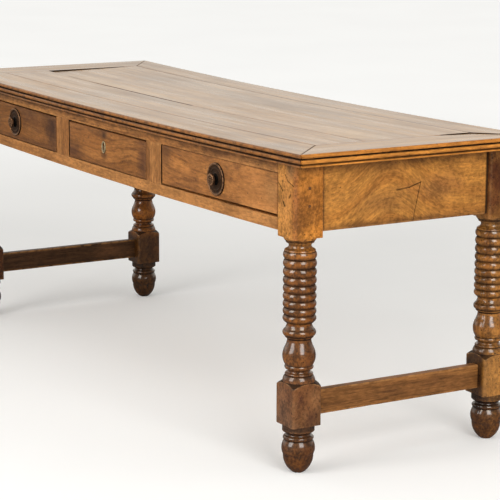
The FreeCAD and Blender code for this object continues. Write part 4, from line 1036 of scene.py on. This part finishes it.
# The turnings, as (cut below the square's face, height above the start) in millimetres
legShape = {
    "square": legOutX - legInX, "corner": 0.006, "footFlat": 0.0135, "footHeight": 0.119,
    "lowerBlock": 0.0945, "shoulder": 0.0105, "blankOver": 0.0034, "crownDepth": 0.001, "upperBlock": 0.5725,
    "ringCount": 8, "ringDepth": 0.0045, "ringTaper": 0.8, "ringRound": 0.45, "stepsRound": 112,
    "chip": 0.0003, "topGap": 0.0001, "shoulderSteps": 20, "ringSteps": 12,
    "foot": [((9.5, 18.6), (3.5, 45.8)), (2.8, 45.8), ((0.0, 64.5), (6.5, 80.9)), ((2.9, 86.6), (7.4, 91.4)),
             ((11.0, 95.0), (8.0, 98.8)), ((3.6, 101.2), (1.0, 103.6)), (1.0, 119.0)],
    "vase": [((1.6, 7.0), (5.8, 15.4)), (7.4, 16.2), ((6.0, 18.6), (8.2, 22.0)),
             ((13.4, 26.6), (11.2, 30.2)), (7.0, 31.8), ((5.3, 36.2), (6.4, 39.4)), (7.2, 40.4),
             ((0.2, 62.0), (1.2, 71.5)), ((3.1, 78.0), (5.8, 84.4)), ((8.5, 90.6), (10.6, 97.0)),
             (11.4, 101.6), ((10.8, 104.4), (8.0, 106.6)), (6.0, 108.6), (5.4, 111.4),
             ((0.2, 118.5), (2.4, 126.0)), ((7.8, 133.0), (9.8, 137.6)), (9.9, 141.0)],
    "vaseHeight": 0.146,
    "cap": [((0.0, 8.6), (2.2, 17.4)), (3.6, 18.0), ((2.8, 20.2), (4.6, 23.0)), ((10.5, 26.7), (13.2, 31.0)),
            ((12.4, 35.0), (7.6, 38.6)), (6.4, 39.4), (6.2, 41.2), ((3.6, 44.6), (0.8, 48.6))],
    "capHeight": 0.052,
}
legHalf = legShape["square"] / 2
blockTop = legShape["footHeight"] + legShape["lowerBlock"]
legDirtAndShade = {
    "reach": 0.0022, "depth": 0.0013, "spared": 0.15, "dust": 0.5,
    "bands": [  # from and to which height the darkening has a value of its own: darker shoulder and collar, lighter polished coves
        (blockTop - legShape["shoulder"], blockTop + 1.1 * legShape["shoulder"], 0.85), (0.1036, 0.119, 0.6),
        (0.0885, 0.1005, 0.3), (0.2455, 0.2545, 0.3), (0.5430, 0.5595, 0.3),
    ],
}


def turning(steps, base):  # millimetre steps as radii and heights
    def point(pair):
        return legHalf - pair[0] / 1000, base + pair[1] / 1000

    return [tuple(point(pair) for pair in step) if isinstance(step[0], tuple) else point(step)
            for step in steps]


def legOutline():
    s = legShape
    blank = math.hypot(legHalf, legHalf) + s["blankOver"]
    vaseBase = blockTop + s["shoulder"]
    ringsLow = vaseBase + s["vaseHeight"]
    ringsHigh = s["upperBlock"] - s["capHeight"]
    ringFoot = legHalf - s["ringDepth"]
    crown = (legHalf - s["crownDepth"], vaseBase)
    shoulder = (blank, blockTop - s["shoulder"] / 2)
    bend = ((shoulder[0] + 2 * crown[0]) / 3, blockTop + 2 * s["shoulder"] / 3)
    points = traced([(0.0, 0.0)], [(s["footFlat"], 0.0)] + turning(s["foot"], 0.0))
    points = traced(points, [(blank, s["footHeight"]), shoulder])
    points += arcThrough(shoulder, bend, crown, s["shoulderSteps"])
    points = traced(points, turning(s["vase"], vaseBase) + [(ringFoot, ringsLow)])
    taper, last = s["ringTaper"], s["ringCount"] - 1
    weights = [taper + (1 - taper) * i / last for i in range(s["ringCount"])]
    unit = (ringsHigh - ringsLow) / sum(weights)
    z = ringsLow
    for weight in weights:
        height = unit * weight
        stand = ringFoot + min(s["ringDepth"], s["ringRound"] * height)
        points += arcThrough(points[-1], (stand, z + height / 2), (ringFoot, z + height), s["ringSteps"])
        z += height
    points = traced(points, turning(s["cap"], ringsHigh))
    neck = points[-1][0]
    upper = s["upperBlock"]
    return traced(points, [(neck, upper), (blank, upper), (blank, legHigh.z), (0.0, legHigh.z)])


def hollowDirtAndShade(points):  # how deep each point lies in a hollow, as dirt and painted shade, with painted shade on what faces up
    s = legDirtAndShade
    capped = [(min(radius, legHalf), height) for radius, height in points]
    dirtAndShade = []
    for i, (radius, height) in enumerate(capped):
        widest = max(r for r, h in capped if abs(h - height) < s["reach"])
        deep = (widest - radius) / s["depth"] - s["spared"]
        before, after = capped[max(i - 1, 0)], capped[min(i + 1, len(capped) - 1)]
        upward = (before[0] - after[0]) / max(math.dist(before, after), 1e-6)
        forced = [value for low, high, value in s["bands"] if low <= height <= high]
        dirtAndShade.append(forced[0] if forced else min(1.0, max(0.0, deep, s["dust"] * upward)))
    return dirtAndShade


nearCracks = [  # on the near leg's front, from x, z to x, z, with width, share and waver
    ((0.931, 0.722), (0.944, 0.707), 0.0019, 0.8, 0.002),
    ((0.944, 0.707), (0.970, 0.698), 0.0019, 0.8, 0.002),
    ((0.904, 0.698), (0.922, 0.682), 0.0028, 0.8, 0.003),
    ((0.925, 0.655), (0.929, 0.648), 0.0045, 0.8, 0.0),
    ((0.950, 0.670), (0.957, 0.677), 0.004, 0.7, 0.0),
]
nearLines = [((x0, -legOutY, z0), (x1, -legOutY, z1), *rest) for (x0, z0), (x1, z1), *rest in nearCracks]
nearSpots = [
    ((legOutX, -legMid.y, 0.665), (0.02, 0.09, 0.13), 0.7, (206, 128, 42)),
    ((legOutX, -legOutY, 0.68), (0.012, 0.012, 0.2), 0.75, (150, 78, 34)),
    # painted shadow of the top's moulding on the upper block's end face
    ((legOutX, -0.28, 0.745), (0.05, 0.09, 0.022), 0.8, (70, 42, 20)),
    ((0.955, -legOutY, 0.735), (0.02, 0.03, 0.03), 0.7, (116, 84, 58)),
    ((legOutX, -0.29, 0.63), (0.03, 0.03, 0.03), 0.45, (112, 66, 24)),
    ((legOutX, -0.295, 0.695), (0.03, 0.022, 0.040), 0.2, (126, 74, 26)),
    ((legOutX, -0.31, 0.60), (0.03, 0.03, 0.025), 0.5, (108, 62, 24)),
    ((legMid.x, -legOutY, 0.66), (0.07, 0.02, 0.14), 0.4, (158, 112, 68)),
    ((legMid.x, -legOutY, 0.165), (0.07, 0.02, 0.10), 0.4, (144, 110, 86)),
    ((legOutX, -legMid.y, 0.165), (0.02, 0.07, 0.10), 0.4, (112, 82, 54)),
    ((legOutX, -0.262, 0.185), (0.02, 0.018, 0.024), 0.7, (150, 102, 58)),
    ((legOutX, -0.288, 0.150), (0.02, 0.014, 0.020), 0.6, (142, 98, 58)),
    ((legOutX, -0.272, 0.140), (0.02, 0.016, 0.018), 0.7, (66, 36, 20)),
    ((legOutX, -0.300, 0.190), (0.02, 0.010, 0.020), 0.7, (84, 42, 26)),
    ((0.930, -legOutY, 0.150), (0.012, 0.02, 0.024), 0.5, (80, 50, 34)),
    ((0.955, -legOutY, 0.190), (0.010, 0.02, 0.018), 0.5, (84, 48, 32)),
]
rightSpots = [
    ((legOutX, legInY + 0.01, 0.61), (0.08, 0.05, 0.04), 0.8, (96, 52, 28)),
    ((legOutX, legMid.y, 0.68), (0.08, 0.16, 0.17), 1.0, (84, 44, 22)),
    # painted shadow on the lower block's face towards the front, beside the stretcher
    ((legMid.x, legInY, 0.165), (0.12, 0.03, 0.12), 1.0, (34, 19, 9)),
    ((legOutX, legMid.y, 0.165), (0.012, 0.09, 0.09), 0.6, (194, 134, 64)),
    ((legMid.x, legMid.y, 0.094), (0.12, 0.12, 0.012), 0.9, (30, 16, 8)),
]
legs = {  # look, finish, seed of the nicks, lines, spots, and tints with the heights where they set in
    "front_right": ("near", legFinish, 10.0, nearLines, nearSpots,
                    [(0.585, 0.52, (158, 143, 121)), (0.19, 0.11, (196, 192, 190))]),
    "back_right": ("right", goldLegFinish, 13.0, [], rightSpots,
                   [(0.585, 0.50, (190, 178, 164)), (0.13, 0.09, (170, 160, 156))]),
    "front_left": ("left", legFinish, 1.0, [], [],
                   [(0.585, 0.52, (158, 143, 121)), (0.26, 0.20, (140, 136, 134))]),
    # painted light and shade: the back-left leg's rings are tinted less dark than the others', and its lower
    # block darker, for how light reaches it under the table
    "back_left": ("far", legFinish, 4.0, [], [],
                  [(0.585, 0.52, (180, 162, 118)), (0.235, 0.20, (143, 150, 188))]),
}
outline = legOutline()
outlineDirtAndShade = hollowDirtAndShade(outline)
for place, (look, finish, seed, lines, spots, tints) in legs.items():
    name = "turned_leg_" + place
    material = woodMaterial("walnut_leg_" + look, finish, "z", lines, spots, lower=tints)
    mesh = grow(name, outlineMesh(outline, outlineDirtAndShade, [0.0] * len(outline)), turningTree, {
        "Steps Round": legShape["stepsRound"], "Half Square": legHalf, "Corner Radius": legShape["corner"],
        "Chip Depth": legShape["chip"], "Seed": seed, "Finish": material,
    })
    x = legMid.x if "right" in place else -legMid.x
    y = legMid.y if "back" in place else -legMid.y
    mesh.transform(Matrix.Translation((x, y, 0)))
    for vertex in mesh.vertices:  # the top end follows the settled underside
        vertex.co.z = min(vertex.co.z, settled(vertex.co.x, underside - legShape["topGap"]))
    addPiece(name, mesh, "table", material, "walnut_leg", "leg_" + place)
print("legs:", len(outline), "outline points each")

# Tenon pegs, instanced on their places

pegShape = {"radius": 0.004, "length": 0.038, "proud": 0.0003, "drops": (0.056, 0.098), "tenon": 0.015,
            "sides": 9}


def makePegTree():
    bench, given, result = newTree(
        "pegs", "GeometryNodeTree",
        {"Geometry": ["Geometry"], "Float": ["Radius", "Length"], "Int": ["Sides"], "Material": ["Finish"]},
        {"Geometry": ["Geometry"]},
    )
    peg = bench.put("GeometryNodeMeshCylinder", {
        "Vertices": given["Sides"], "Radius": given["Radius"], "Depth": given["Length"],
    })
    axis = bench.put("GeometryNodeInputNamedAttribute", {"Name": "axis"}, data_type="FLOAT_VECTOR")
    aim = bench.put("FunctionNodeAlignRotationToVector", {"Vector": axis}, axis="Z")
    values = {"Points": given["Geometry"], "Instance": peg, "Rotation": aim}
    return finishTree(bench, bench.put("GeometryNodeInstanceOnPoints", values), given, result)


pegs = []  # place on the surface, and the way out
for side in (-1, 1):
    for drop in pegShape["drops"]:
        x, tenonX = side * legOutX, side * (legInX + pegShape["tenon"])
        for row in (-1, 1):
            pegs.append((Vector((x, row * legMid.y, settled(x, underside - drop))), Vector((side, 0, 0))))
        pegs.append((Vector((tenonX, legOutY, settled(tenonX, underside - drop))), Vector((0, 1, 0))))
inset = pegShape["length"] / 2 - pegShape["proud"]
pegSeeds = bpy.data.meshes.new("peg_places")
pegSeeds.from_pydata([spot - axis * inset for spot, axis in pegs], [], [])
layer = pegSeeds.attributes.new("axis", "FLOAT_VECTOR", "POINT")
layer.data.foreach_set("vector", [value for _, axis in pegs for value in axis])
pegWood = woodMaterial("walnut_peg", pegFinish, "x")
mesh = grow("riven_pegs", pegSeeds, makePegTree(), {
    "Radius": pegShape["radius"], "Length": pegShape["length"], "Sides": pegShape["sides"],
    "Finish": pegWood,
})
addPiece("riven_pegs", mesh, "table", pegWood, "walnut_frame", "tenon_pegs")
print("pegs:", len(pegs))

# Drawer fronts: the CAD boards with rubbed edges, each a little out of true in its opening

drawerFronts = {  # top, bottom and ends are the slits, spots have x, z, half sizes, share and tint
    "left": {
        "top": 0.0022, "bottom": (0.0, 0.0), "ends": (0.0008, 0.0030), "shade": 0.7375, "rim": 0.6,
        "spots": [
            ((-0.345, 0.675), (0.055, 0.075), 0.9, (62, 40, 30)),
            ((-0.50, 0.70), (0.10, 0.05), 0.6, (84, 54, 38)),
            ((-0.80, 0.66), (0.10, 0.07), 0.5, (92, 60, 40)),
        ],
    },
    "centre": {
        "top": 0.0026, "bottom": (0.0, 0.0), "ends": (0.0026, 0.0014), "shade": 0.867, "rim": 0.5,
        "spots": [
            ((-0.205, 0.632), (0.055, 0.030), 0.8, (78, 48, 34)),
            ((0.215, 0.655), (0.030, 0.055), 0.8, (84, 52, 36)),
            ((-0.014, 0.697), (0.016, 0.014), 0.9, (60, 40, 28)),
            ((-0.014, 0.640), (0.020, 0.012), 0.7, (76, 48, 32)),
        ],
    },
    "right": {
        "top": -0.0010, "bottom": (0.0024, 0.0054), "ends": (0.0040, -0.0004), "shade": 1.098, "rim": 0.12,
        "spots": [
            ((0.345, 0.695), (0.035, 0.045), 0.75, (92, 60, 38)),
            ((0.865, 0.675), (0.040, 0.045), 0.55, (128, 96, 58)),
            ((0.655, 0.690), (0.03, 0.05), 0.5, (104, 66, 38)),
            ((0.45, 0.640), (0.12, 0.03), 0.3, (128, 80, 46)),
            ((0.80, 0.650), (0.13, 0.07), 0.4, (196, 134, 76)),
        ],
    },
}
frontEdge = {
    "round": 0.0014, "segments": 3, "near": 0.0006, "rimReach": 0.002, "deep": 0.02, "crease": 0.8,
    # of the rim bands, the narrow near-black one is painted shade of the slit round each front; the wide one
    # darkens the front towards its edges
    "sharp": 25.0, "bands": [(0.030, 0.7, (104, 68, 42)), (0.004, 1.0, (48, 29, 17))], "weld": 2e-6,
    "flatWithin": 1.0, "spotDepth": 0.08,
}


def frontMesh(name, node, spec):
    low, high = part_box(node)
    centre = (low + high) / 2
    slope = centre.x / arcRadius
    near, rimReach = frontEdge["near"], frontEdge["rimReach"]
    shape = bmesh.new()
    shape.from_mesh(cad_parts[node].data)
    bmesh.ops.remove_doubles(shape, verts=shape.verts, dist=frontEdge["weld"])
    flat = math.radians(frontEdge["flatWithin"])
    bmesh.ops.dissolve_limit(
        shape, angle_limit=flat, verts=shape.verts, edges=shape.edges, delimit=set(),
    )

    def level(spot):
        return spot.z - slope * (spot.x - centre.x)

    heights = [level(vertex.co) for vertex in shape.verts]
    bottom, top = min(heights), max(heights)
    edges = []
    for edge in shape.edges:
        a, b = (vertex.co for vertex in edge.verts)
        if max(a.y, b.y) > low.y + near:
            continue
        middle = (a + b) / 2
        height = level(middle)
        atRim = min(height - bottom, top - height, middle.x - low.x, high.x - middle.x) < rimReach
        if atRim and len(edge.link_faces) == 2 and edge.calc_face_angle() > frontEdge["crease"]:
            edges.append(edge)
    for vertex in shape.verts:
        spot = vertex.co
        if spot.y > low.y + frontEdge["deep"]:
            continue
        height = level(spot)
        fromLeft, fromRight = spot.x - low.x, high.x - spot.x
        if top - height < near:
            spot.z -= spec["top"]
        if height - bottom < near:
            start, end = spec["bottom"]
            spot.z += start + fromLeft / (high.x - low.x) * (end - start)
        if spot.y < low.y + near:
            if fromLeft < rimReach:
                spot.x += spec["ends"][0]
            if fromRight < rimReach:
                spot.x -= spec["ends"][1]
    bmesh.ops.bevel(
        shape, geom=edges, offset=frontEdge["round"], segments=frontEdge["segments"], profile=0.5,
        affect="EDGES", clamp_overlap=True,
    )
    mesh = bpy.data.meshes.new(name)
    shape.to_mesh(mesh)
    shape.free()
    halfWidth, halfHeight = (high.x - low.x) / 2, (top - bottom) / 2
    box = {"Centre": centre, "Half Width": halfWidth, "Half Height": halfHeight, "Slope": slope}
    return smoothMesh(mesh, frontEdge["sharp"]), box


for side, spec in drawerFronts.items():
    name, node = "drawer_front_worn_" + side, "drawer_" + side + "_front"
    mesh, box = frontMesh(name, node, spec)
    rims = [(dict(box, Band=band), share * spec["rim"], tint) for band, share, tint in frontEdge["bands"]]
    depth = frontEdge["spotDepth"]
    spots = [((x, frontFaceY, z), (a, depth, b), *rest) for (x, z), (a, b), *rest in spec["spots"]]
    finish = dict(drawerFinish, shade=spec["shade"])
    material = woodMaterial("walnut_drawer_" + side, finish, "x", spots=spots, rims=rims)
    addPiece(name, mesh, side + "_drawer", material, "walnut_drawer", node)
print("drawer fronts: 3")

# Knobs on dished plates, and the escutcheon

bronze = metalMaterial("bronze_dark", bronzeFinish)
brass = metalMaterial("brass_pale", brassFinish)
iron = metalMaterial("iron_lock", ironFinish)
plateShape = {
    "radius": 0.041, "rim": 0.005, "rimWidth": 0.005, "floor": 0.0025, "dishEdge": 0.00325,
    "dishFoot": 0.0015, "ridge": 0.62, "ridgeWidth": 0.0012, "ridgeHeight": 0.0007, "sagIn": 0.004,
    "sag": 0.0003, "boss": 0.013, "bossHeight": 0.0055, "bossRound": 0.0012, "stepsRound": 96,
    "rubbedFrom": 0.0038, "wallFrom": 0.985, "wallBelow": 0.75, "bossReach": 1.15, "dustBelow": 1.05,
    "dust": 0.25,
}
knobShape = {
    "radius": 0.016, "neck": 0.008, "waist": 0.0064, "head": 0.007, "reach": 0.0185, "ring": 0.009,
    "ringDepth": 0.0012, "backRound": 0.0015, "faceRound": 0.0025, "button": 0.0042, "buttonDrop": 0.0002,
    "seatIn": 0.0005, "rubbedFrom": 0.0178, "backReach": 0.001, "dustDrop": 0.0004, "dustOver": 0.001,
    "dust": 0.7,
}
metalWear = {"rubbed": 0.8, "plain": 0.1}
metalTurning = {  # a square so wide that it cuts nothing, and no nicks
    "Steps Round": plateShape["stepsRound"], "Half Square": 1.0, "Corner Radius": 0.1, "Chip Depth": 0.0,
    "Seed": 0.0, "Finish": bronze,
}


def plateOutline():
    s = plateShape
    rimIn = s["radius"] - s["rimWidth"]
    dish = (rimIn + s["boss"]) / 2
    ridge = s["ridge"] * (rimIn - s["boss"]) + s["boss"]
    return traced([(0.0, 0.0)], [
        (s["radius"], 0.0), (s["radius"], s["floor"] / 2),
        ((s["radius"] - s["rimWidth"] / 2, s["rim"]), (rimIn, s["dishEdge"])),
        ((rimIn - s["dishFoot"], s["floor"]), (ridge + s["ridgeWidth"], s["floor"])),
        ((ridge, s["floor"] + s["ridgeHeight"]), (ridge - s["ridgeWidth"], s["floor"])),
        ((dish - s["sagIn"], s["floor"] - s["sag"]), (s["boss"], s["dishEdge"])),
        ((s["boss"] - s["bossRound"], s["bossHeight"] - s["bossRound"] / 2),
         (knobShape["neck"], s["bossHeight"])),
        (0.0, s["bossHeight"]),
    ])


def plateShadeAndDust(radius, height):
    s = plateShape
    # painted shadow: the plate's side wall, and the ring round the boss under the knob's head, are black
    wall = radius > s["wallFrom"] * s["radius"] and height < s["wallBelow"] * s["rim"]
    if wall or radius < s["bossReach"] * s["boss"]:
        return 1.0
    return s["dust"] if height < s["dustBelow"] * s["floor"] else 0.0


def knobOutline():
    s = knobShape
    seat = plateShape["bossHeight"] - s["seatIn"]
    face, back = s["reach"], s["reach"] - s["head"]
    ring, button, depth = s["ring"], s["button"], s["ringDepth"]
    return traced([(0.0, seat)], [
        (s["neck"], seat), ((s["waist"], (seat + back) / 2), (s["neck"], back)),
        (s["radius"] - s["backRound"], back),
        ((s["radius"], face - s["head"] / 2), (s["radius"] - s["faceRound"], face)),
        (ring + depth, face), ((ring, face - depth), (ring - depth, face)),
        (button + depth, face), ((button, face - depth), (button - depth, face - s["buttonDrop"])),
        (0.0, face),
    ])


def knobShadeAndDust(radius, height):
    s = knobShape
    # painted shadow: the knob's neck and the back of its head are black
    if height < s["reach"] - s["head"] + s["backReach"]:
        return 1.0
    dustyAndShaded = height < s["reach"] - s["dustDrop"] and radius < s["ring"] + s["dustOver"]
    return s["dust"] if dustyAndShaded else 0.0


forward = Matrix.Rotation(math.pi / 2, 4, "X")
for side in ("left", "right"):
    low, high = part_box("knob_plate_" + side)
    spot = Matrix.Translation(((low.x + high.x) / 2, high.y, (low.z + high.z) / 2))
    for name, node, points, shadeAndDirtAt, shape in (
        ("dished_plate_", "knob_plate_", plateOutline(), plateShadeAndDust, plateShape),
        ("turned_knob_", "knob_", knobOutline(), knobShadeAndDust, knobShape),
    ):
        wear = [metalWear["rubbed" if height > shape["rubbedFrom"] else "plain"] for _, height in points]
        seedMesh = outlineMesh(points, [shadeAndDirtAt(*point) for point in points], wear)
        mesh = grow(name + side, seedMesh, turningTree, metalTurning)
        mesh.transform(spot @ forward)
        addPiece(name + side, mesh, side + "_drawer", bronze, "bronze", node + side)

keyShape = {
    "rim": 0.003, "rimFall": 0.001, "bevel": 0.0008, "lift": 0.0008, "thick": 0.0016, "hole": 0.0042,
    "slot": 0.0025, "drop": 0.013, "holeRound": 0.0006, "holeDrop": 0.0005, "points": 72,
    "step": 0.00005, "steps": 240, "wear": 0.8, "sharp": 50.0,
}


def keyholePoint(angle):  # where a ray from the middle leaves the round hole and its slot
    s = keyShape
    dx, dz = math.cos(angle), math.sin(angle)
    reach = 0.0
    for step in range(1, s["steps"]):
        distance = step * s["step"]
        x, z = dx * distance, dz * distance
        inRound = math.hypot(x, z - s["drop"] / 2) <= s["hole"]
        inSlot = abs(x) <= s["slot"] and abs(z) <= s["drop"] / 2
        if inRound or inSlot:
            reach = distance
    return dx * reach, dz * reach


def escutcheonMesh(name):
    s = keyShape
    low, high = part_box("escutcheon")
    halfW, halfH = (high.x - low.x) / 2, (high.z - low.z) / 2
    middle = Vector(((low.x + high.x) / 2, high.y, (low.z + high.z) / 2))
    angles = [2 * math.pi * i / s["points"] for i in range(s["points"])]
    crest = s["thick"] + s["lift"]
    loops = [  # on the oval or the keyhole, inset, reach, and dirt with painted shade, black down the keyhole's walls
        (True, 0.0, 0.0, 0.4), (True, 0.0, s["thick"], 0.2), (True, s["bevel"], crest, 0.0),
        (True, s["rim"] - s["rimFall"], crest, 0.0), (True, s["rim"], s["thick"], 0.6),
        (False, s["holeRound"], s["thick"], 0.5), (False, 0.0, s["thick"] - s["holeDrop"], 1.0),
        (False, 0.0, 0.0, 1.0),
    ]
    rings = []
    for onOval, inset, reach, _ in loops:
        ring = []
        for angle in angles:
            if onOval:
                x, z = (halfW - inset) * math.cos(angle), (halfH - inset) * math.sin(angle)
            else:
                x, z = keyholePoint(angle)
                spread = 1 + inset / max(math.hypot(x, z), 0.001)
                x, z = x * spread, z * spread
            ring.append(middle + Vector((x, -reach, z)))
        rings.append(ring)
    masks = {
        "grime": [[dirtAndShade] * s["points"] for _, _, _, dirtAndShade in loops],
        "wear": [[s["wear"] if onOval and inset else 0.0] * s["points"] for onOval, inset, _, _ in loops],
    }
    return loftMesh(name, rings, masks, looped=True, angle=s["sharp"])


addPiece("oval_escutcheon", escutcheonMesh("oval_escutcheon"), "centre_drawer", brass, "brass", "escutcheon")
print("metalwork: plates, knobs, escutcheon")

# Inside pieces keep their CAD shape and get their finish

lining = {axis: woodMaterial("lining_" + axis, liningFinish, axis) for axis in ("x", "y")}
insideFinish = {
    "runner_": lining["y"], "guide_": lining["y"], "kicker_": lining["y"], "drawer_stops": lining["x"],
    "top_screws": iron, "knob_nut_": bronze, "lock_case": iron, "lock_bolt": brass, "lock_screws": iron,
}


def insideMaterial(name):
    if name.startswith("drawer_") and "_side_" in name:
        return lining["y"]
    if name.startswith("drawer_") and name.endswith(("_back", "_bottom")):
        return lining["x"]
    return next((material for start, material in insideFinish.items() if name.startswith(start)), None)


for name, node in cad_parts.items():
    material = insideMaterial(name)
    if material:
        node.data.materials.clear()
        node.data.materials.append(material)
print("inside pieces finished")

# Floor, light and camera

floorShape = {"half": 40.0, "colour": (239, 240, 240), "mottle": (0.97, 1.0), "mirrorShade": 0.78,
              "cloud": (1.3, 4.0, 0.5), "cloudFrom": (0.3, 0.7), "lift": (0.2, 0.16, 0.45),
              "reach": (0.4, 1.0, 1.6, 6.5)}


def floorMaterial():
    s = floorShape
    material, bench = newMaterial("pale_floor")
    where = bench.put("ShaderNodeTexCoord", out="Object")
    seen = bench.put("ShaderNodeLightPath", out="Is Camera Ray")
    tint = bench.fade(bench.cloud(where, *s["cloud"]), *s["cloudFrom"], *s["mottle"])
    colour = bench.blend(1.0, tone(s["colour"]), bench.grey(tint), "MULTIPLY")
    colour = bench.blend(seen.also("Is Glossy Ray") * s["mirrorShade"], colour, (0, 0, 0, 1))
    away = bench.vector("LENGTH", where, out="Value")
    under, near, far = s["lift"]
    lift = bench.fade(away, *s["reach"][:2], under, near)
    lift = bench.fade(away, *s["reach"][2:], lift, far)
    diffuse = bench.put("ShaderNodeBsdfDiffuse", {"Color": colour})
    glow = bench.put("ShaderNodeEmission", {"Color": tone(s["colour"]), "Strength": seen * lift})
    bench.close("ShaderNodeOutputMaterial", bench.put("ShaderNodeAddShader", {0: diffuse, 1: glow}))
    return material


half = floorShape["half"]
floorMesh = bpy.data.meshes.new("floor")
corners = [(-half, -half, 0), (half, -half, 0), (half, half, 0), (-half, half, 0)]
floorMesh.from_pydata(corners, [], [(0, 1, 2, 3)])
floorMesh.materials.append(floorMaterial())
carry("floor", floorMesh)

lightPlan = {
    "world": 0.62, "seen": 1.0, "mirrored": 0.14, "behind": (-0.86, 0.5, 0.0), "behindFrom": (0.0, 0.5),
    "colour": (255, 252, 247), "mirrorColour": (255, 250, 240), "lampColour": (1.0, 0.988, 0.97),
    "aim": (0.6, -0.1, 0.45),
    "glints": {"share": 1.6, "tall": 1.4, "colour": (1.0, 0.86, 0.67)},
    "lamps": {
        "right_window": {"azimuth": -8, "height": 2.6, "distance": 4.6, "size": (2.4, 2.7), "power": 132},
        "left_window": {"azimuth": -88, "height": 2.3, "distance": 4.4, "size": (2.3, 2.7), "power": 102},
    },
}
world = bpy.data.worlds.new("soft_room")
world.use_nodes = True
world.node_tree.nodes.clear()
scene.world = world
bench = Bench(world.node_tree)
seen = bench.put("ShaderNodeLightPath", out="Is Camera Ray")
glossy = seen.also("Is Glossy Ray")
toward = bench.put("ShaderNodeTexCoord", out="Generated")  # on a world, the way the ray goes
facing = bench.dot(toward, lightPlan["behind"])
mirrored = bench.fade(facing, *lightPlan["behindFrom"], lightPlan["mirrored"], lightPlan["seen"])
strength = bench.choose(glossy, lightPlan["world"], mirrored)
strength = bench.choose(seen.most(seen.also("Is Transmission Ray")), strength, lightPlan["seen"])
shine = bench.blend(glossy, tone(lightPlan["colour"]), tone(lightPlan["mirrorColour"]))
sky = bench.put("ShaderNodeBackground", {"Color": shine, "Strength": strength})
bench.close("ShaderNodeOutputWorld", sky)

aim = Vector(lightPlan["aim"])
glints = lightPlan["glints"]
for name, plan in lightPlan["lamps"].items():
    lamp = bpy.data.lights.new(name, "AREA")
    lamp.shape = "RECTANGLE"
    lamp.size, lamp.size_y = plan["size"]
    lamp.energy = plan["power"]
    lamp.color = lightPlan["lampColour"]
    angle = math.radians(plan["azimuth"])
    offset = plan["distance"] * Vector((math.cos(angle), math.sin(angle), 0))
    spot = Vector((aim.x + offset.x, aim.y + offset.y, plan["height"]))
    turn = (aim - spot).to_track_quat("-Z", "Y").to_matrix().to_4x4()
    holder = carry(name, lamp)
    holder.matrix_world = Matrix.Translation(spot) @ turn
    glint = lamp.copy()  # the lamp as polish shows it, drawn out upwards
    glint.size_y *= glints["tall"]
    glint.energy = glints["share"] * glints["tall"] * plan["power"]
    glint.color = glints["colour"]
    mirror = carry(name + "_glint", glint)
    raised = Vector((0, (glints["tall"] - 1) * plan["size"][1] / 2, 0))
    mirror.matrix_world = holder.matrix_world @ Matrix.Translation(raised)
    mirror.visible_diffuse = False

cameraPlan = {"place": (4.68219, -2.64166, 1.43095), "yaw": 59.3, "pitch": -11.387, "roll": 0.272,
              "lens": 138.89, "sensor": 36.0, "far": 200.0}
cameraData = bpy.data.cameras.new("photo_camera")
cameraData.lens = cameraPlan["lens"]
cameraData.sensor_width = cameraPlan["sensor"]
cameraData.clip_end = cameraPlan["far"]
camera = carry("photo_camera", cameraData)
yaw, pitch, roll = (math.radians(cameraPlan[key]) for key in ("yaw", "pitch", "roll"))
camera.matrix_world = (
    Matrix.Translation(cameraPlan["place"]) @ Matrix.Rotation(yaw, 4, "Z")
    @ Matrix.Rotation(math.pi / 2 + pitch, 4, "X") @ Matrix.Rotation(roll, 4, "Z")
)
scene.camera = camera
print("floor, light and camera ready")
